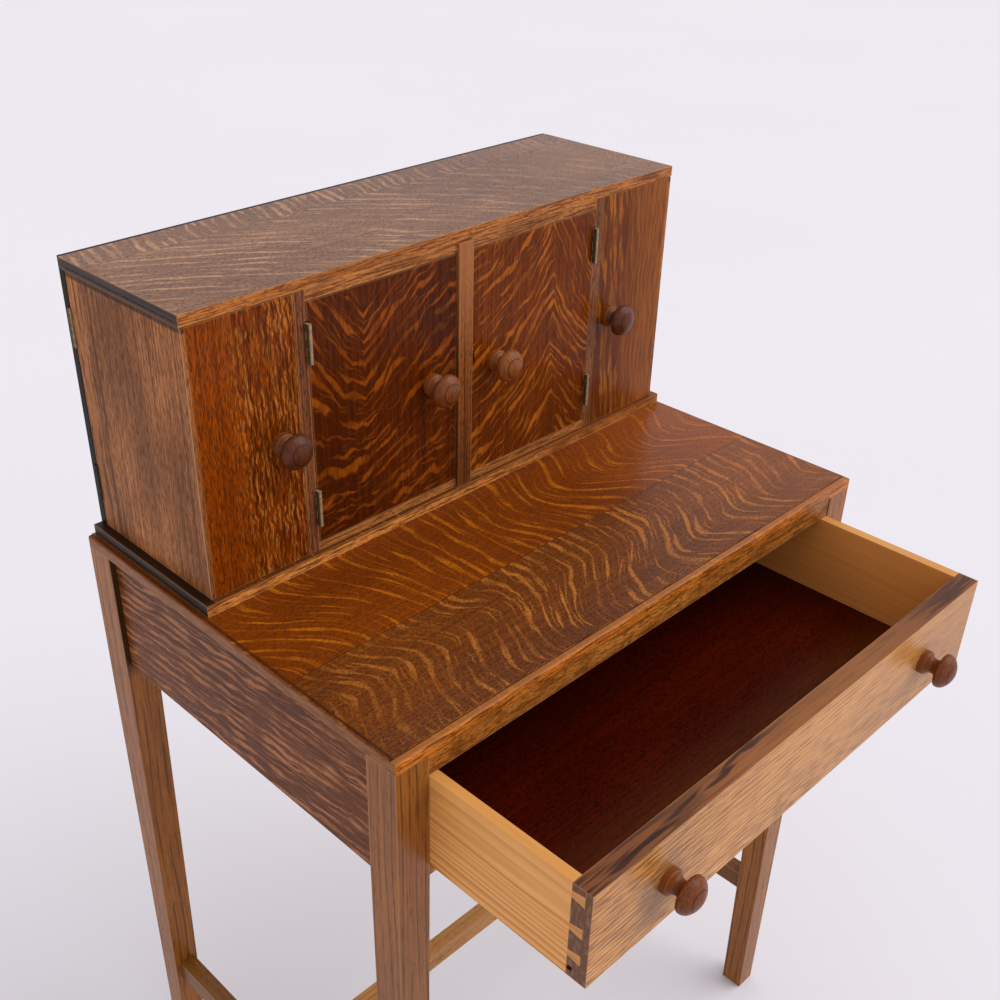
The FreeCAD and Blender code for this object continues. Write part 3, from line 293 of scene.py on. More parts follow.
def plain_oak(name, pieces, grain, seed, dark, mid, light, shine, roughness=0.30,
              contrast=0.7, mottle=0.45, line_width=2.6, pore="#2A1608", pore_share=0.6,
              pore_size=(9.0, 0.85, 0.60), rows=None, row_share=0.6, arris="#B98A5C",
              arris_share=0.35, end_share=0.5, extra=None):
    """Rift-sawn or flat-sawn oak, stained and waxed: straight lines and dark pores, no flecks.
    Each piece has a pattern of its own. pore_size is the pores' length, width and how few they
    are, and rows is the gap, width, length and how few of the rows of pores."""
    for count, piece in enumerate(pieces):
        own_name = f"{name}_{piece}" if len(pieces) > 1 else name
        material, tree, (x, y, z), grain_place = new_wood(own_name, grain)
        own = seed + 7.3 * count
        wood = stained_wood(tree, grain_place, own, dark, mid, light, contrast, mottle,
                            line_width)
        pits = pores(tree, grain_place, own + 5.0, *pore_size)
        end = facing(tree, grain.upper())
        wood = stain(tree, wood, dark, end, end_share)
        wood = stain(tree, wood, pore, pits, pore_share)
        if rows:
            line = pore_rows(tree, grain_place, own + 9.0, *rows)
            wood = stain(tree, wood, pore, line, row_share)
        if extra:
            wood = extra(tree, wood, x, y, z, piece)
        worn = near_arris(tree, x, y, z, [piece], reach=1.3)
        wood = stain(tree, wood, arris, worn, arris_share)
        finished(tree, wood, pits, roughness, shine)
        give(material, piece)


def figured_oak(name, piece, grain, seed, dark, mid, light, fleck, bands, roughness, shine,
                contrast=0.5, mottle=0.5, pore_share=0.45, pore_size=(4.0, 0.8, 0.56),
                fleck_share=0.8, arris="#C08A55", whole=None, extra=None):
    """Quarter-sawn oak, stained and waxed: the stain darkens the wood, and the hard ray flecks
    stay pale, but fade over patches. bands gives the flecks from the place in millimetres, and
    whole is the boards that are glued into one."""
    material, tree, (x, y, z), grain_place = new_wood(name, grain)
    wood = stained_wood(tree, grain_place, seed, dark, mid, light, contrast, mottle)
    flecks = bands(tree, x, y, z)
    patch = (30.0, 30.0, 30.0)
    place = stretched(tree, (x, y, z), patch, seed + 4.0)
    fading = add(tree, "TexNoise", {"Vector": place, "Scale": 1.0, "Detail": 2.0})[0]
    fading = add(tree, "MapRange", {0: fading, 1: 0.36, 2: 0.58, 3: 0.3, 4: 1.0})[0]
    wood = stain(tree, wood, fleck, flecks, fading, fleck_share)
    pits = pores(tree, grain_place, seed + 5.0, *pore_size)
    wood = stain(tree, wood, "#241206", pits, pore_share)
    if extra:
        wood = extra(tree, wood, x, y, z, piece)
    worn = near_arris(tree, x, y, z, whole or [piece], reach=1.2)
    wood = stain(tree, wood, arris, worn, 0.3)
    finished(tree, wood, pits, roughness, shine)
    give(material, piece)


def bare_edge(tree, wood, x, y, z, share, seed, pale, line="#5A2C0E"):
    """A long edge planed clean, paler than the faces, with darker patches and broken dark lines
    of pores."""
    wood = stain(tree, wood, pale, share)
    patches = pores(tree, (x, z, y), seed + 8.0, length=45.0, width=16.0, few=0.50, soft=0.16)
    wood = stain(tree, wood, line, share, patches, 0.4)
    broad = pores(tree, (x, z, y), seed, length=30.0, width=1.7, few=0.49, soft=0.14)
    fine = pores(tree, (x, z, y), seed + 4.0, length=6.0, width=1.0, few=0.53)
    wood = stain(tree, wood, line, share, broad, 0.75)
    return stain(tree, wood, line, share, fine, 0.6)


# The desk top, two quarter-sawn boards glued edge to edge, with a quirk near its edges.

TOP_BOARDS = ["table_top_front_board", "table_top_back_board"]
TOP_FRONT = -118.6                   # the front edge, along y
GLUE_JOINT = 7.9                     # where the two boards meet, along y
TOP_BACK = 124.0                     # where the cupboard's base covers the top, along y
QUIRK_ENDS = (303.4, 304.6)          # the quirk along each end, from the middle of the desk
QUIRK_FRONT = (-112.8, -111.4)       # the quirk behind the front edge, along y


def front_board_flecks(tree, x, y, z):
    """The front board's flecks sweep sideways towards the front, and are fainter at the left."""
    over = bent(tree, x, y, GLUE_JOINT, TOP_FRONT, [
        (-140.0, -40.0, -30.0, -60.0, 0.25, 0.90),
        (80.0, 230.0, 0.0, 18.0, 0.25, 0.90),
        (40.0, 200.0, 0.0, 45.0, 0.62, 1.00),
        (-140.0, -70.0, -26.0, 0.0, 0.40, 0.00)])
    flecks = flecks_of_two_sizes(tree, over, y, seed=11.0, broad=(16.0, 6.2, 42.0, 0.39, 4.5),
                                 thin=(7.0, 2.8, 26.0, 0.43, 3.0), soft=1.4)
    left = add(tree, "MapRange", {0: x, 1: -290.0, 2: -150.0, 3: 0.55, 4: 1.0})[0]
    return add(tree, "Math", {0: flecks, 1: left}, operation="MULTIPLY")[0]


def back_board_flecks(tree, x, y, z):
    """The back board's flecks bend most at its left end."""
    over = bent(tree, x, y, TOP_BACK, GLUE_JOINT, [
        (-260.0, -70.0, 95.0, 0.0, 0.0, 1.0),
        (-60.0, 20.0, 0.0, -16.0, 0.0, 0.45),
        (20.0, 90.0, 0.0, -10.0, 0.0, 0.45),
        (-60.0, 20.0, 0.0, 26.0, 0.45, 1.0),
        (30.0, 150.0, 0.0, 40.0, 0.5, 1.0)])
    return flecks_of_two_sizes(tree, over, y, seed=23.0, broad=(19.0, 6.4, 62.0, 0.38, 5.0),
                               thin=(9.0, 3.0, 40.0, 0.43, 3.0), share=0.6, soft=1.6)


def top_marks(tree, wood, x, y, z, piece):
    """Dirt and painted shade in the quirk, dirt in the glue joint, a face with painted light that
    pales towards the right, a paler front edge and lip, and dull tan ends."""
    left = band(tree, x, -QUIRK_ENDS[1], -QUIRK_ENDS[0])
    right = band(tree, x, *QUIRK_ENDS)
    front = band(tree, y, *QUIRK_FRONT)
    up = facing(tree, "Z", 1)
    # The quirk is darkened by dirt and painted shade.
    for line in (left, right, front):
        wood = stain(tree, wood, "#1A0C04", line, up, 0.75)
    # Painted light: the top face is paler towards the right, where the light falls stronger.
    paler = add(tree, "MapRange", {0: x, 1: 100.0, 2: 300.0, 3: 0.0, 4: 0.25})[0]
    wood = stain(tree, wood, "#AC6230", paler, up)
    joint = band(tree, y, GLUE_JOINT - 0.2, GLUE_JOINT + 0.2, 0.5)
    wood = stain(tree, wood, "#2C1204", joint, 0.7)
    wood = bare_edge(tree, wood, x, y, z, facing(tree, "Y", -1), seed=14.0, pale="#CC7628",
                     line="#5A2408")
    ends = facing(tree, "X")
    wood = stain(tree, wood, "#905829", ends, 0.9)
    lip = add(tree, "MapRange", {0: y, 1: QUIRK_FRONT[0], 2: QUIRK_FRONT[0] + 0.2, 3: 1.0,
                                 4: 0.0})[0]
    wood = stain(tree, wood, "#B06A2C", lip, up, 0.6)
    rings = pores(tree, (y, z, x), seed=19.0, length=16.0, width=1.6, few=0.47)
    return stain(tree, wood, "#3A2012", ends, rings, 0.45)


# Quarter-sawn oak, stained and waxed: pale ray flecks, 3 to 6 mm wide as on real boards, sweep
# across brown wood, and the waxed face has a soft gleam. The back board is redder and brighter.
figured_oak("top_front_oak", "table_top_front_board", "x", seed=3.0, dark="#44200A",
            mid="#783C0C", light="#8A4A12", fleck="#B66C26", bands=front_board_flecks,
            extra=top_marks, whole=TOP_BOARDS, contrast=0.45, arris="#9A5A24", roughness=0.28,
            shine=0.18, fleck_share=0.9, pore_size=(3.0, 1.3, 0.51), pore_share=0.55)
figured_oak("top_back_oak", "table_top_back_board", "x", seed=8.0, dark="#5A2400",
            mid="#823A04", light="#924606", fleck="#B4640A", bands=back_board_flecks,
            extra=top_marks, whole=TOP_BOARDS, contrast=0.35, roughness=0.28, shine=0.18,
            fleck_share=0.85, pore_size=(3.0, 1.3, 0.53))


# The cupboard's cap and base boards. The cap has a narrow strip glued on behind.

STRIP_JOINT = 265.0                  # where the cap's strip starts, along y
CAP_BACK = 302.9                     # the cap's back edge, along y


def cap_flecks(tree, x, y, z):
    """The cap's flecks slant more at its left than at its right, where they are fainter. Those of
    the strip behind are short and broad."""
    slope = add(tree, "MapRange", {0: x, 1: -290.0, 2: 250.0, 3: 1.15, 4: 0.3})[0]
    over = add(tree, "Math", {0: slope, 1: y, 2: x}, operation="MULTIPLY_ADD")[0]
    front = flecks_of_two_sizes(tree, over, y, seed=41.0, broad=(15.0, 5.4, 40.0, 0.36, 4.0),
                                thin=(7.0, 2.6, 24.0, 0.42, 2.5), soft=1.2)
    curve = bent(tree, x, y, CAP_BACK, STRIP_JOINT, [(-300.0, 300.0, -8.0, -8.0, 0.0, 1.0)])
    back = ray_flecks(tree, curve, y, seed=43.0, gap=10.0, width=5.6, length=34.0, few=0.34,
                      wander=3.0, soft=1.6)
    strip = add(tree, "MapRange", {0: y, 1: STRIP_JOINT - 0.4, 2: STRIP_JOINT + 0.4, 3: 0.0,
                                   4: 1.0})[0]
    flecks = add(tree, "Mix", {0: strip, 2: front, 3: back})[0]
    right = add(tree, "MapRange", {0: x, 1: -40.0, 2: 160.0, 3: 1.0, 4: 0.45})[0]
    return add(tree, "Math", {0: flecks, 1: right}, operation="MULTIPLY")[0]


def cap_edges(tree, wood, x, y, z, piece):
    """Cap and base have a pale front edge and nearly black ends with fine lines in them. The cap
    shows the joint of its strip. The base is darker towards its right and along its upper arris,
    and black on its left ledge, from dark wax and painted shade in the corner under the side
    panel."""
    front = facing(tree, "Y", -1)
    pale = "#BC7030" if piece == "cupboard_cap_board" else "#DC8C42"
    wood = bare_edge(tree, wood, x, y, z, front, seed=21.0, pale=pale)
    if piece == "cupboard_cap_board":
        joint = band(tree, y, STRIP_JOINT - 0.2, STRIP_JOINT + 0.2, 0.5)
        wood = stain(tree, wood, "#3A2010", joint, 0.6)
    else:
        upper = band(tree, z, 774.2, 777.0, 0.8)
        wood = stain(tree, wood, "#4A1E06", front, upper, 0.5)
        darker = add(tree, "MapRange", {0: x, 1: -80.0, 2: 200.0, 3: 0.0, 4: 0.5})[0]
        wood = stain(tree, wood, "#783810", darker)
        # The left ledge is nearly black: dark wax, and painted shade in the corner under the side
        # panel.
        ledge_wax_and_shade = band(tree, x, -310.0, -293.0, 0.8)
        wood = stain(tree, wood, "#1C120C", ledge_wax_and_shade, facing(tree, "Z", 1), 0.9)
    ends = facing(tree, "X")
    wood = stain(tree, wood, "#17100C", ends, 0.96)
    lines = pores(tree, (y, z, x), seed=27.0, length=70.0, width=2.2, few=0.50)
    return stain(tree, wood, "#4A3026", ends, lines, 0.5)


def plinth_flecks(tree, x, y, z):
    """Plain rows of flecks for the base board."""
    return ray_flecks(tree, x, y, seed=45.0, gap=18.0, width=3.6, length=40.0)


# Quarter-sawn oak with hardly any gleam: tan flecks on a greyish brown, lightened as painted
# sheen in place of the waxed top's reflection.
# The base board is the same oak, mostly seen as a pale streaked edge.
figured_oak("cap_oak", "cupboard_cap_board", "x", seed=13.0, dark="#5C3828", mid="#885B3E",
            light="#9A6846", fleck="#BC8A62", bands=cap_flecks, extra=cap_edges, contrast=0.45,
            roughness=0.26, shine=0.15, pore_size=(3.0, 1.2, 0.50))
figured_oak("base_oak", "cupboard_base_board", "x", seed=15.0, dark="#4A2208", mid="#743E12",
            light="#844A16", fleck="#A0602A", bands=plinth_flecks, extra=cap_edges,
            roughness=0.3, shine=0.12)


# The centre doors: their flecks meet in a chevron, at a place along x.

LEFT_CHEVRON = -118.0
RIGHT_CHEVRON = 122.0


def left_chevron(tree, x, y, z):
    """Flecks that fall to LEFT_CHEVRON and rise again past it, ever more gently. They are steeper
    near the top of the door than near its foot."""
    z = unsteady(tree, z, (z, x, y), lengths=(60.0, 24.0, 24.0), seed=4.0, reach=4.0)
    left, right = two_sides(tree, x, LEFT_CHEVRON)
    left_slope = add(tree, "MapRange", {0: z, 1: 835.0, 2: 985.0, 3: 0.0, 4: 1.2})[0]
    right_slope = add(tree, "MapRange", {0: z, 1: 800.0, 2: 960.0, 3: 0.42, 4: 1.15})[0]
    fall = add(tree, "Math", {0: left, 1: left_slope, 2: z}, operation="MULTIPLY_ADD")[0]
    ease = add(tree, "Math", {0: right, 1: -0.0034, 2: 1.0}, operation="MULTIPLY_ADD")[0]
    rise = add(tree, "Math", {0: right, 1: ease}, operation="MULTIPLY")[0]
    rise = add(tree, "Math", {0: rise, 1: right_slope}, operation="MULTIPLY")[0]
    over = add(tree, "Math", {0: fall, 1: rise}, operation="SUBTRACT")[0]
    return flecks_of_two_sizes(tree, over, x, seed=53.0, broad=(12.5, 7.2, 30.0, 0.40, 5.0),
                               thin=(5.5, 3.0, 18.0, 0.44, 3.0), share=0.6, soft=1.6)


def right_chevron(tree, x, y, z):
    """Flecks that rise to RIGHT_CHEVRON, ever more steeply, and fall again past it, more steeply
    near the top of the door."""
    x = unsteady(tree, x, (z, x, y), lengths=(40.0, 70.0, 70.0), seed=2.0, reach=6.0)
    z = unsteady(tree, z, (z, x, y), lengths=(60.0, 30.0, 30.0), seed=6.0, reach=4.5)
    left, right = two_sides(tree, x, RIGHT_CHEVRON)
    right_slope = add(tree, "MapRange", {0: z, 1: 850.0, 2: 960.0, 3: 1.1, 4: 2.4})[0]
    ease = add(tree, "Math", {0: left, 1: 0.0030, 2: 1.0}, operation="MULTIPLY_ADD")[0]
    rise = add(tree, "Math", {0: left, 1: ease}, operation="MULTIPLY")[0]
    rise = add(tree, "Math", {0: rise, 1: -1.25, 2: z}, operation="MULTIPLY_ADD")[0]
    over = add(tree, "Math", {0: right, 1: right_slope, 2: rise}, operation="MULTIPLY_ADD")[0]
    return flecks_of_two_sizes(tree, over, x, seed=67.0, broad=(14.0, 7.6, 32.0, 0.40, 5.0),
                               thin=(6.0, 3.2, 20.0, 0.44, 3.0), share=0.6, soft=1.6)


# Quarter-sawn oak, stained red brown and shellacked: golden flecks stand out on dark wood under
# a smooth film. The left door is the darker of the two.
figured_oak("left_centre_door_oak", "left_centre_door", "z", seed=31.0, dark="#340E00",
            mid="#562002", light="#6E3004", fleck="#9C4C0A", bands=left_chevron,
            roughness=0.20, shine=0.07, pore_size=(11.0, 0.9, 0.54), pore_share=0.5)
figured_oak("right_centre_door_oak", "right_centre_door", "z", seed=33.0, dark="#441802",
            mid="#703004", light="#884008", fleck="#B86418", bands=right_chevron,
            roughness=0.22, shine=0.07, pore_size=(11.0, 0.9, 0.54), pore_share=0.5)


# The end doors, whose front and side panels are one L, and the frame round the centre doors.

def left_end_flecks(tree, x, y, z):
    """Short, wavy, upright flecks on the half towards the middle of the desk."""
    lean = add(tree, "Math", {0: z, 1: 0.05, 2: x}, operation="MULTIPLY_ADD")[0]
    flecks = ray_flecks(tree, lean, z, seed=79.0, gap=4.7, width=3.2, length=15.0, few=0.36,
                        wander=2.0, soft=0.6)
    where = add(tree, "MapRange", {0: x, 1: -262.0, 2: -240.0, 3: 0.0, 4: 1.0})[0]
    return add(tree, "Math", {0: flecks, 1: where}, operation="MULTIPLY")[0]


def left_end_lines(tree, wood, x, y, z, piece):
    """Fine dark wavy lines between the short flecks, and dark streaks on the plain half."""
    moved = unsteady(tree, x, (z, x, y), lengths=(24.0, 10.0, 10.0), seed=5.0, reach=2.3)
    lines = pores(tree, (z, moved, y), seed=7.0, length=28.0, width=1.7, few=0.50, soft=0.12)
    where = add(tree, "MapRange", {0: x, 1: -258.0, 2: -236.0, 3: 0.12, 4: 0.7})[0]
    return stain(tree, wood, "#3E1400", lines, where)


def right_end_flecks(tree, x, y, z):
    """Tall flecks that fade towards the outside of the desk."""
    lean = add(tree, "Math", {0: z, 1: 0.12, 2: x}, operation="MULTIPLY_ADD")[0]
    flecks = ray_flecks(tree, lean, z, seed=83.0, gap=9.0, width=7.0, length=58.0, few=0.36,
                        soft=1.4)
    where = add(tree, "MapRange", {0: x, 1: 215.0, 2: 262.0, 3: 1.0, 4: 0.2})[0]
    return add(tree, "Math", {0: flecks, 1: where}, operation="MULTIPLY")[0]


def right_end_tone(tree, wood, x, y, z, piece):
    """Plainer and lighter towards the outside, with fine dark wavy lines all over."""
    plain = add(tree, "MapRange", {0: x, 1: 225.0, 2: 268.0, 3: 0.0, 4: 0.6})[0]
    wood = stain(tree, wood, "#A45C22", plain)
    moved = unsteady(tree, x, (z, x, y), lengths=(30.0, 14.0, 14.0), seed=9.0, reach=2.3)
    lines = pores(tree, (z, moved, y), seed=13.0, length=45.0, width=1.9, few=0.48, soft=0.12)
    return stain(tree, wood, "#4E2208", lines, 0.6)


# Quarter-sawn oak under shellac, each board with its own figure: the left one is bright orange
# brown with short rippled flecks, the right one is plainer and browner.
figured_oak("left_end_front_oak", "left_end_door_front_panel", "z", seed=35.0, dark="#561E00",
            mid="#903E02", light="#A8540A", fleck="#C0722A", bands=left_end_flecks,
            extra=left_end_lines, roughness=0.22, shine=0.08, pore_size=(7.0, 0.8, 0.49),
            pore_share=0.6, contrast=0.4, mottle=0.3)
figured_oak("right_end_front_oak", "right_end_door_front_panel", "z", seed=37.0,
            dark="#4A1C02", mid="#743606", light="#88460A", fleck="#B06620",
            bands=right_end_flecks, extra=right_end_tone, roughness=0.26, shine=0.1,
            fleck_share=0.75)


def side_panel_marks(tree, wood, x, y, z, piece):
    """Upright streaks near the hinged edge, with a broken paler one and a dark line among them, a
    dark band under the cap that is partly dirt and partly the painted shadow of the cap's
    overhang, and a worn front corner."""
    sway = unsteady(tree, y, (z, y, x), lengths=(70.0, 30.0, 30.0), seed=3.0, reach=3.0)
    streaks = pores(tree, (z, sway, x), seed=9.0, length=130.0, width=3.4, few=0.47, soft=0.12)
    back = add(tree, "MapRange", {0: y, 1: 235.0, 2: 262.0, 3: 0.15, 4: 0.65})[0]
    wood = stain(tree, wood, "#4C2A16", streaks, back)
    broken = pores(tree, (z, sway, x), seed=17.0, length=60.0, width=7.0, few=0.46, soft=0.10)
    paler = band(tree, sway, 281.0, 292.0, 4.0)
    wood = stain(tree, wood, "#C07C46", paler, broken, 0.45)
    line = band(tree, sway, 273.0, 275.0, 3.5)
    wood = stain(tree, wood, "#4A2814", line, 0.3)
    # Dirt and the painted shadow of the cap's overhang darken the top of the panel.
    dirt_and_shadow_under_cap = band(tree, z, 1016.6, 1021.0, 2.0)
    wood = stain(tree, wood, "#1C0E06", dirt_and_shadow_under_cap, 0.7)
    corner = band(tree, y, 128.0, 129.6, 0.8)
    return stain(tree, wood, "#C89468", corner, facing(tree, "X"), 0.6)


def stile_tone(tree, wood, x, y, z, piece):
    """The centre stile is paler at its top and darker low down."""
    pale = add(tree, "MapRange", {0: z, 1: 900.0, 2: 1000.0, 3: 0.0, 4: 0.4})[0]
    low = add(tree, "MapRange", {0: z, 1: 800.0, 2: 880.0, 3: 0.6, 4: 0.0})[0]
    wood = stain(tree, wood, "#CC8450", pale)
    return stain(tree, wood, "#40200C", low)


# Rift-sawn oak, planed and thinly waxed: matt, light brown, with upright lines and open pores.
plain_oak("end_side_oak", ["left_end_door_side_panel", "right_end_door_side_panel"], "z",
          seed=39.0, dark="#64381A", mid="#BE7845", light="#CE8C57", roughness=0.34,
          shine=0.06, mottle=0.7, line_width=1.8, pore_size=(9.0, 0.8, 0.50), pore_share=0.55,
          arris_share=0.2, extra=side_panel_marks)

# Rift-sawn oak edges of the cupboard's frame, stained: straight dark lines, the stile darker low
# down.
plain_oak("partition_oak", ["left_partition", "right_partition"], "z", seed=43.0,
          dark="#3C1E0C", mid="#8C5030", light="#A26440", contrast=0.9, mottle=0.6, shine=0.1,
          pore_size=(7.0, 1.0, 0.52))
plain_oak("stile_oak", ["centre_stile"], "z", seed=45.0, dark="#54260C", mid="#9E5620",
          light="#B66A30", contrast=0.9, mottle=0.5, shine=0.1, pore_size=(7.0, 1.0, 0.53),
          extra=stile_tone)


def front_edges(tree, wood, x, y, z, piece):
    """The middle boards' front edges are paler than their faces."""
    return bare_edge(tree, wood, x, y, z, facing(tree, "Y", -1), seed=31.0, pale="#B47038")


# Flat-sawn oak shelves of the middle bay: plain brown, with a pale streaked front edge.
plain_oak("middle_board_oak", ["middle_bottom_board", "middle_top_board"], "x", seed=47.0,
          dark="#6A3A12", mid="#9A5E24", light="#A86C2E", extra=front_edges, shine=0.1)


def inner_back(tree, wood, x, y, z, piece):
    """Inside the cupboard the back is brown like the boards round it."""
    lines = pores(tree, (x, z, y), seed=51.0, length=60.0, width=2.2, few=0.50)
    inside = facing(tree, "Y", -1)
    wood = stain(tree, wood, "#75451F", inside, 0.9)
    return stain(tree, wood, "#3A1E0A", inside, lines, 0.6)


# Oak of the back and of the strips that carry the end doors' hinges, never waxed and nearly black
# with age: hardly any line or gleam shows.
plain_oak("back_oak", ["cupboard_back_board"], "x", seed=49.0, dark="#100D09", mid="#1F1A14",
          light="#2A241C", shine=0.04, arris="#3E362A", arris_share=0.2, extra=inner_back)
plain_oak("hanging_strip_oak", ["door_hanging_strips"], "z", seed=50.0, dark="#0E0C08",
          mid="#1B1711", light="#242019", shine=0.04, arris="#3E362A", arris_share=0.2)


# The desk's frame.

def apron_flecks(tree, x, y, z):
    """Long low flecks that run along a side apron and lean a little."""
    lean = add(tree, "Math", {0: y, 1: 0.08, 2: z}, operation="MULTIPLY_ADD")[0]
    return flecks_of_two_sizes(tree, lean, y, seed=91.0, broad=(9.0, 5.0, 52.0, 0.35, 3.5),
                               thin=(4.6, 2.4, 30.0, 0.40, 2.0), soft=1.2)


def back_apron_flecks(tree, x, y, z):
    """The same flecks along the back apron."""
    return apron_flecks(tree, y, x, z)


# Quarter-sawn oak, stained and left matt: long low flecks, reddish tan on a dark purplish brown.
for apron, grain, seed, flecks in (("left_apron", "y", 51.0, apron_flecks),
                                   ("right_apron", "y", 51.0, apron_flecks),
                                   ("back_apron", "x", 57.0, back_apron_flecks)):
    figured_oak(f"{apron}_oak", apron, grain, seed, dark="#3C1A0A", mid="#653314",
                light="#78431C", fleck="#B47242", bands=flecks, roughness=0.34, shine=0.1,
                contrast=0.8, pore_share=0.35)


def leg_dirt_and_shade(tree, wood, x, y, z, piece):
    """Dirt and painted shade in the recess between a side apron and the back leg behind it. It
    fades out below the apron's lower edge."""
    middle = 150.0                   # a place along y between the front and the back legs
    # Painted shade with dirt: the leg's front face is darkened inside the recess.
    high = add(tree, "MapRange", {0: z, 1: 612.0, 2: 630.0, 3: 0.0, 4: 1.0})[0]
    back = add(tree, "MapRange", {0: y, 1: middle, 2: middle + 1.0, 3: 0.0, 4: 1.0})[0]
    return stain(tree, wood, "#160C06", high, back, facing(tree, "Y", -1), 0.85)


# Rift-sawn oak, planed and waxed: rows of pores 3 to 4 mm apart run down every face.
plain_oak("leg_oak", ["front_left_leg", "front_right_leg", "back_left_leg", "back_right_leg"],
          "z", seed=61.0, dark="#6E4018", mid="#9A5C22", light="#AA6C2E", contrast=0.5,
          mottle=0.35, pore_size=(16.0, 0.8, 0.58), pore_share=0.4,
          rows=(3.5, 0.4, 50.0, 0.38), row_share=0.55, shine=0.22, extra=leg_dirt_and_shade)


def rail_tone(tree, wood, x, y, z, piece):
    """The front rails are mottled and darker towards their right end. The upper one is darker
    along its lower edge too, and the lower one all over."""
    darker = add(tree, "MapRange", {0: x, 1: 0.0, 2: 290.0, 3: 0.0, 4: 0.5})[0]
    wood = stain(tree, wood, "#7A4210", darker)
    patches = pores(tree, (x, z, y), seed=71.0, length=26.0, width=6.0, few=0.50, soft=0.09)
    wood = stain(tree, wood, "#5A3008", patches, 0.55)
    low = add(tree, "MapRange", {0: z, 1: 733.0, 2: 742.0, 3: 0.3, 4: 0.0})[0]
    return stain(tree, wood, "#3A1C06", low)


# Flat-sawn oak, stained and waxed: mottled golden brown, with dark dashes of pores. The colours
# are painted brighter than the oak, as painted light thrown up onto the rails from the drawer.
plain_oak("rail_oak", ["upper_front_rail", "lower_front_rail"], "x", seed=73.0,
          dark="#9A5620", mid="#F49E42", light="#FFB054", contrast=0.9, mottle=0.75,
          shine=0.1, pore_size=(7.0, 1.1, 0.51), extra=rail_tone)

# Rift-sawn oak, planed and waxed: the stretchers and the kickers are plain, warm brown and even.
plain_oak("cross_stretcher_oak", ["cross_stretcher"], "x", seed=74.0, dark="#8A5A28",
          mid="#C0854A", light="#CE9456", shine=0.2)
plain_oak("kicker_oak", ["left_drawer_kicker", "right_drawer_kicker"], "y", seed=75.0,
          dark="#6A3E14", mid="#94601E", light="#A67028", shine=0.22)
plain_oak("stretcher_oak", ["left_side_stretcher", "right_side_stretcher"], "y", seed=77.0,
          dark="#5C3614", mid="#82501E", light="#92602A", shine=0.22)


# The drawer.

KNOB_RUB_AND_SHADOW = (-194.0, -279.4, 676.0)     # the middle of the patch beside its left knob, partly rubbed and partly its painted shadow
TAILS = (-280.0, -260.9)             # the dovetails on the ends of its sides, along y


def front_marks(tree, wood, x, y, z, piece):
    """The drawer front's face darkens towards the right, with more dashes low down and at the
    left, and a darker patch below and left of one knob that is partly rubbed and partly the
    knob's painted shadow. Its top edge and ends are weathered darker than its face, and a long
    dark streak runs along the edge."""
    low = add(tree, "MapRange", {0: z, 1: 655.0, 2: 700.0, 3: 1.0, 4: 0.15})[0]
    left = add(tree, "MapRange", {0: x, 1: -150.0, 2: -40.0, 3: 1.0, 4: 0.0})[0]
    more = add(tree, "Math", {0: low, 1: left}, operation="MAXIMUM")[0]
    dashes = pores(tree, (x, z, y), seed=33.0, length=22.0, width=0.7, few=0.53, soft=0.05)
    wood = stain(tree, wood, "#62341A", dashes, more, 0.75)
    right = add(tree, "MapRange", {0: x, 1: -20.0, 2: 270.0, 3: 0.0, 4: 0.42})[0]
    wood = stain(tree, wood, "#A06A36", right)
    # A patch below and left of the left knob: rubbing, and the knob's painted shadow.
    away = add(tree, "CombineXYZ", {0: x, 1: y, 2: z})[0]
    away = add(tree, "VectorMath", {0: away, 1: KNOB_RUB_AND_SHADOW}, operation="DISTANCE")["Value"]
    rub_and_knob_shadow = add(tree, "MapRange", {0: away, 1: 16.0, 2: 44.0, 3: 0.45, 4: 0.0},
                 interpolation_type="SMOOTHSTEP")[0]
    wood = stain(tree, wood, "#6E5038", rub_and_knob_shadow)
    top = facing(tree, "Z", 1)
    wood = stain(tree, wood, "#8A5228", top, 0.9)
    grain = pores(tree, (x, y, z), seed=35.0, length=55.0, width=3.6, few=0.48, soft=0.12)
    out = add(tree, "Math", {0: x}, operation="ABSOLUTE")[0]
    ends = add(tree, "MapRange", {0: out, 1: 90.0, 2: 220.0, 3: 0.25, 4: 1.0})[0]
    wood = stain(tree, wood, "#5E3018", top, ends, 0.6)
    wood = stain(tree, wood, "#2A120C", top, grain, ends, 0.7)
    slope = add(tree, "Math", {0: x, 1: -0.052, 2: y}, operation="MULTIPLY_ADD")[0]
    slope = unsteady(tree, slope, (x, y, z), lengths=(50.0, 30.0, 30.0), seed=12.0, reach=3.0)
    streak = band(tree, slope, -263.4, -259.6, 1.6)
    broken = pores(tree, (x, y, z), seed=65.0, length=40.0, width=5.0, few=0.40, soft=0.12)
    where = add(tree, "MapRange", {0: x, 1: -70.0, 2: 0.0, 3: 0.85, 4: 0.0})[0]
    wood = stain(tree, wood, "#2C150C", top, streak, broken, where)
    wood = stain(tree, wood, "#5A3520", facing(tree, "X"), 0.9)
    grey = pores(tree, (z, y, x), seed=37.0, length=9.0, width=3.0, few=0.48, soft=0.2)
    return stain(tree, wood, "#94704C", facing(tree, "X"), grey, 0.45)


def lit_bottom_and_lines(tree, wood, x, y, z, piece):
    """The drawer bottom is painted lighter and browner just behind the drawer's front, where
    light reaches past the desk top, with dark lines.
    """
    # Painted light: the upper face is lighter near the front, beyond the shadow of the desk top.
    near = add(tree, "MapRange", {0: y, 1: -262.0, 2: -180.0, 3: 1.0, 4: 0.0})[0]
    wood = stain(tree, wood, "#6E3A10", near, facing(tree, "Z", 1), 0.7)
    lines = pores(tree, (x, y, z), seed=63.0, length=38.0, width=1.5, few=0.50, soft=0.08)
    return stain(tree, wood, "#160400", lines, near, 0.75)


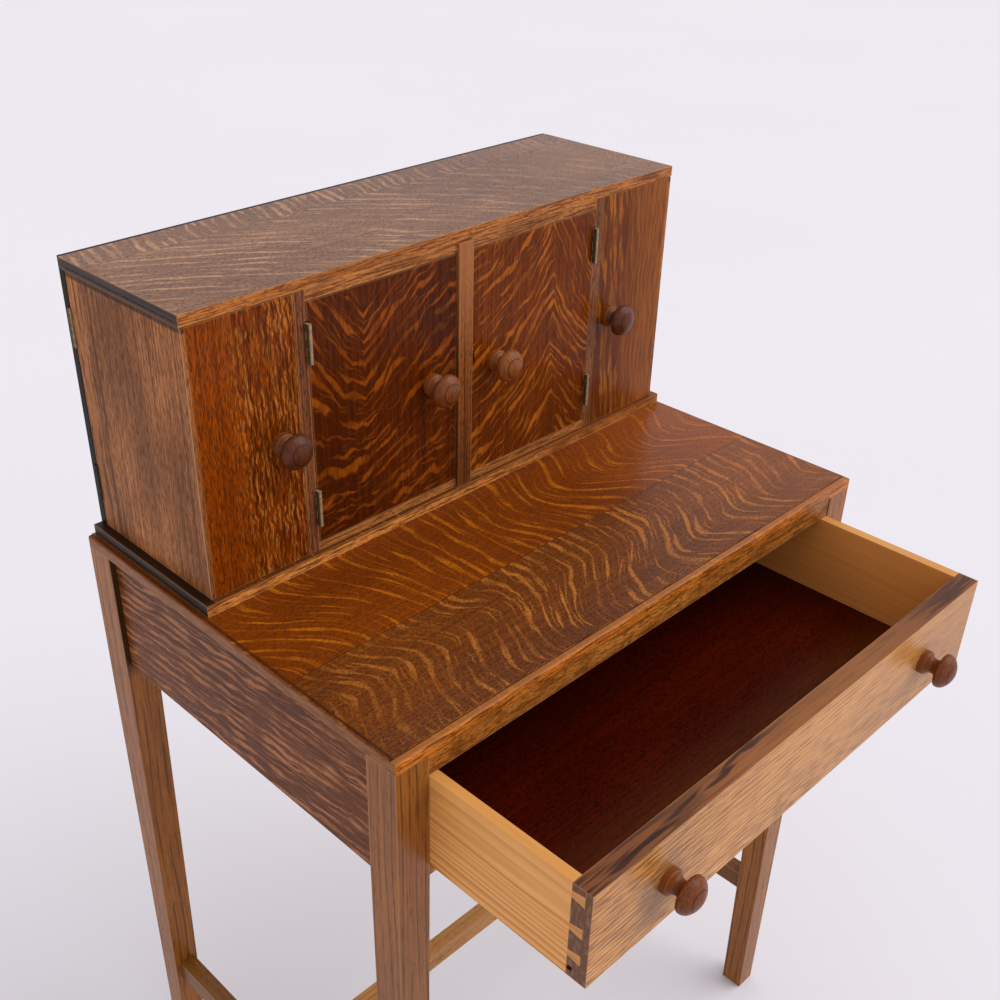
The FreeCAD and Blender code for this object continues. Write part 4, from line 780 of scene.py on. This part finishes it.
# Rift-sawn oak, varnished thinly with no stain: pale and warm, with fine close lines along it.
# The bottom is taken as oak stained a very dark red, nearly matt, its darkness partly painted
# shade so that the drawer looks deep.
plain_oak("drawer_front_oak", ["drawer_front"], "x", seed=81.0, dark="#AC6E34", mid="#DC9A50",
          light="#E6A960", pore="#6E3E20", pore_share=0.5, pore_size=(22.0, 0.6, 0.55),
          contrast=0.45, line_width=1.0, mottle=0.3, roughness=0.26, shine=0.2,
          rows=(1.7, 0.3, 34.0, 0.40), arris_share=0.2, extra=front_marks)
plain_oak("drawer_bottom_oak", ["drawer_bottom"], "x", seed=85.0, dark="#2E0500",
          mid="#4A1000", light="#561602", shine=0.04, contrast=0.4, pore="#140200",
          pore_size=(5.0, 1.1, 0.53), pore_share=0.7, arris_share=0.0, extra=lit_bottom_and_lines)


def pine(name, pieces, grain, seed):
    """Pine, planed and left to yellow: pale early wood and thin orange late-wood lines, close
    together near the heart of the tree, which is at the boards' lower edges. Top edges and the
    sides' tails are darker with handling, and the sides' inner faces are clean and bright."""
    close_up_to = 699.0              # the height where the rings turn from close to wide
    close, wide = 6.5, 15.0          # millimetres from one ring to the next
    for count, piece in enumerate(pieces):
        material, tree, (x, y, z), grain_place = new_wood(f"{name}_{piece}", grain)
        upright = (grain_place[0], z, grain_place[1])
        path = stretched(tree, upright, (170.0, 60.0, 60.0), seed + count * 4.7)
        sway = add(tree, "TexNoise", {"Vector": path, "Scale": 1.0, "Detail": 1.0})[0]
        height = add(tree, "Math", {0: sway, 1: 14.0, 2: z}, operation="MULTIPLY_ADD")[0]
        near, far = two_sides(tree, height, close_up_to)
        near = add(tree, "Math", {0: near, 1: 1 / close}, operation="MULTIPLY")[0]
        rings = add(tree, "Math", {0: far, 1: 1 / wide, 2: near}, operation="MULTIPLY_ADD")[0]
        uneven = stretched(tree, upright, (400.0, 9.0, 9.0), seed)
        uneven = add(tree, "TexNoise", {"Vector": uneven, "Scale": 1.0, "Detail": 0.0})[0]
        rings = add(tree, "Math", {0: uneven, 1: 1.4, 2: rings}, operation="MULTIPLY_ADD")[0]
        turn = add(tree, "Math", {0: rings}, operation="FRACT")[0]
        late = add(tree, "MapRange", {0: turn, 1: 0.25, 2: 0.85, 3: 0.0, 4: 1.0},
                   interpolation_type="SMOOTHSTEP")[0]
        fall = add(tree, "MapRange", {0: turn, 1: 0.85, 2: 1.0, 3: 1.0, 4: 0.0})[0]
        year = add(tree, "Math", {0: rings}, operation="FLOOR")[0]
        chance = add(tree, "TexWhiteNoise", {"W": year}, noise_dimensions="1D")[0]
        chance = add(tree, "MapRange", {0: chance, 1: 0.0, 2: 1.0, 3: 0.5, 4: 1.0})[0]
        late = add(tree, "Math", {0: late, 1: chance}, operation="MULTIPLY")[0]
        strong = add(tree, "MapRange", {0: height, 1: close_up_to - 2.0, 2: close_up_to + 14.0,
                                        3: 0.95, 4: 0.5})[0]
        wood = stained_wood(tree, grain_place, seed + 2.0, dark="#D08A42", mid="#E6A85E",
                            light="#EEB46C", contrast=0.35, mottle=0.5, width=1.6, size=60.0)
        wood = stain(tree, wood, "#B66C2A", late, fall, strong)
        top = facing(tree, "Z", 1)
        wood = stain(tree, wood, "#B87832", top, 0.5)
        if piece in ("drawer_left_side", "drawer_right_side"):
            wood = stain(tree, wood, "#B4763E", band(tree, y, *TAILS, 0.4), 0.6)
            inside = facing(tree, "X", 1 if piece == "drawer_left_side" else -1)
            wood = stain(tree, wood, "#E89244", inside, 0.7)
        pits = pores(tree, grain_place, seed + 1.0, length=40.0, width=0.8, few=0.55)
        worn = near_arris(tree, x, y, z, [piece], reach=1.0)
        wood = stain(tree, wood, "#A66A34", worn, 0.3)
        finished(tree, wood, pits, roughness=0.42, shine=0.25, depth=0.02)
        give(material, piece)


# Scots pine, planed and bare: honey yellow with orange lines, 6.5 to 15 mm apart, nearly matt.
pine("drawer_pine", ["drawer_left_side", "drawer_right_side"], "y", seed=87.0)
pine("back_pine", ["drawer_back"], "x", seed=89.0)
pine("runner_pine", ["left_drawer_runner", "right_drawer_runner", "left_drawer_guide",
                     "right_drawer_guide"], "y", seed=93.0)
pine("stop_pine", ["drawer_stops"], "x", seed=95.0)


# Knobs and metal.

def turned_marks(tree, wood, x, y, z, piece):
    """A knob turned on the lathe: a fine dark ring cut in its head, whose front is 8 mm deep, and
    a warmer foot that starts 20 mm behind the tip."""
    ring = (8.9, 9.5)                # the ring's inner and outer radius
    low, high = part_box(piece)
    tip = low[1] * METRE
    across = add(tree, "Math", {0: x, 1: (low[0] + high[0]) / 2 * METRE},
                 operation="SUBTRACT")[0]
    up = add(tree, "Math", {0: z, 1: (low[2] + high[2]) / 2 * METRE}, operation="SUBTRACT")[0]
    flat = add(tree, "CombineXYZ", {0: across, 1: up, 2: 0.0})[0]
    radius = add(tree, "VectorMath", {0: flat}, operation="LENGTH")["Value"]
    head = add(tree, "MapRange", {0: y, 1: tip + 8.0, 2: tip + 9.0, 3: 1.0, 4: 0.0})[0]
    wood = stain(tree, wood, "#1E0E06", band(tree, radius, *ring, 0.5), head, 0.7)
    foot = add(tree, "MapRange", {0: y, 1: tip + 20.0, 2: tip + 23.0, 3: 0.0, 4: 1.0})[0]
    return stain(tree, wood, "#8A4A1C", foot, 0.5)


# Oak turned on a lathe, stained and waxed: brown, smooth and softly shiny, from a warm batch and
# two darker ones.
for batch, knobs, dark, mid, light in (
        ("warm", ["left_centre_door_knob", "right_centre_door_knob"],
         "#50260C", "#8C4A1A", "#A25C26"),
        ("brown", ["drawer_left_knob", "drawer_right_knob"],
         "#46200A", "#7C3E16", "#904C20"),
        ("dark", ["left_end_door_knob", "right_end_door_knob"],
         "#341808", "#622E14", "#743A1A")):
    plain_oak(f"{batch}_knob_oak", knobs, "z", seed=99.0, dark=dark, mid=mid, light=light,
              contrast=0.6, arris_share=0.0, end_share=0.1, line_width=1.6, pore_share=0.35,
              roughness=0.36, shine=0.22, extra=turned_marks)


def metal(name, pieces, shade, dull, metallic, roughness, old=False):
    """Brass or steel with a tarnish that leaves it flat and uneven. On old brass, painted shade
    darkens the sides of the leaves, and the tarnish is black on the lowest hinge at the left."""
    material, tree = blank(name)
    x, y, z = place_in_mm(tree)
    place = stretched(tree, (x, y, z), (3.0, 3.0, 3.0), 5.0)
    patch = add(tree, "TexNoise", {"Vector": place, "Scale": 1.0, "Detail": 3.0})[0]
    share = add(tree, "MapRange", {0: patch, 1: 0.4, 2: 0.65, 3: 0.0, 4: 1.0})[0]
    colour = stain(tree, linear(shade), dull, share)
    if old:
        # Painted shade on the faces that look sideways, so that each knuckle shows only a narrow
        # lit strip.
        colour = stain(tree, colour, "#2A2216", facing(tree, "X"), 0.8)
        lowest = band(tree, z, 780.0, 845.0, 3.0)
        leftmost = band(tree, x, -400.0, -285.0, 2.0)
        colour = stain(tree, colour, "#14110C", lowest, leftmost, 0.9)
    rough = add(tree, "MapRange", {0: share, 1: 0.0, 2: 1.0, 3: roughness,
                                   4: roughness + 0.15})[0]
    shader = add(tree, "BsdfPrincipled", {"Base Color": colour, "Metallic": metallic,
                                          "Roughness": rough})[0]
    add(tree, "OutputMaterial", {"Surface": shader})
    give(material, *pieces)


# Pressed brass gone dull: a brownish grey, with little of the metal's own shine left.
# Drawn steel of the catches and screws: grey and slightly rough, with darker spots.
metal("hinge_brass", ["fixed_hinge_leaves", "hinge_pins", "left_end_door_hinge_leaves",
                      "right_end_door_hinge_leaves", "left_centre_door_hinge_leaves",
                      "right_centre_door_hinge_leaves"],
      shade="#AC9068", dull="#8A7048", metallic=0.2, roughness=0.5, old=True)
metal("catch_steel", ["catch_strikes", "left_end_door_catch", "right_end_door_catch",
                      "left_centre_door_catch", "right_centre_door_latch"],
      shade="#9A9488", dull="#6E685E", metallic=1.0, roughness=0.4)
metal("screw_steel", ["top_screws", "cupboard_screws"], shade="#8E8A84", dull="#55504A",
      metallic=1.0, roughness=0.45)


# Floor, light and camera.

def pale_floor():
    """A painted studio floor: matt, a pale cool grey, wide enough to fill the view."""
    mesh = bpy.data.meshes.new("studio_floor")
    reach = 14.0                     # metres from the middle to each edge
    mesh.from_pydata([(-reach, -reach, 0), (reach, -reach, 0), (reach, reach, 0),
                      (-reach, reach, 0)], [], [(0, 1, 2, 3)])
    floor = bpy.data.objects.new("studio_floor", mesh)
    bpy.context.scene.collection.objects.link(floor)
    floor.location.z = -0.0006       # a hair under the feet, so that no two faces share a plane
    material, tree = blank("floor_paint")
    point = add(tree, "TexCoord")["Object"]
    patch = add(tree, "TexNoise", {"Vector": point, "Scale": 0.8, "Detail": 2.0})[0]
    share = add(tree, "MapRange", {0: patch, 1: 0.3, 2: 0.7, 3: 0.0, 4: 1.0})[0]
    colour = stain(tree, linear("#E1DDE1"), "#DFDBE0", share)
    shader = add(tree, "BsdfPrincipled", {"Base Color": colour, "Roughness": 0.6})[0]
    add(tree, "OutputMaterial", {"Surface": shader})
    mesh.materials.append(material)


def soft_sun(name, source, strength, spread):
    """Even light from one side, spread as wide in degrees as a large window nearby."""
    lamp = bpy.data.lights.new(name, "SUN")
    lamp.energy, lamp.angle = strength, math.radians(spread)
    made = bpy.data.objects.new(name, lamp)
    bpy.context.scene.collection.objects.link(made)
    made.matrix_world = Vector(source).to_track_quat("Z", "Y").to_matrix().to_4x4()


pale_floor()
soft_sun("window_light", (0.55, -0.45, 0.70), strength=1.6, spread=55.0)

# Pale walls all round give an even, slightly cool light.
world = bpy.data.worlds.new("studio_air")
bpy.context.scene.world = world
world.use_nodes = True
world.node_tree.nodes.clear()
air = add(world.node_tree, "Background", {"Color": linear("#F2F1F5"), "Strength": 0.9})[0]
add(world.node_tree, "OutputWorld", {"Surface": air})
bpy.context.scene.view_settings.view_transform = "Standard"
bpy.context.scene.view_settings.look = "None"

# The camera stands a little left of the desk and looks down on it. Its angles are in degrees,
# and its focal length is for a picture 36 mm wide.
lens = bpy.data.cameras.new("camera")
lens.sensor_width = 36.0
lens.lens = 44.31
lens.shift_x, lens.shift_y = 0.0396, 0.0341
lens.clip_start, lens.clip_end = 0.05, 60.0
camera = bpy.data.objects.new("camera", lens)
bpy.context.scene.collection.objects.link(camera)
camera.matrix_world = (Matrix.Translation((-0.7370, -0.6224, 1.3723))
                       @ Matrix.Rotation(math.radians(-44.38), 4, "Z")
                       @ Matrix.Rotation(math.radians(90 - 31.92), 4, "X")
                       @ Matrix.Rotation(math.radians(0.51), 4, "Z"))
bpy.context.scene.camera = camera
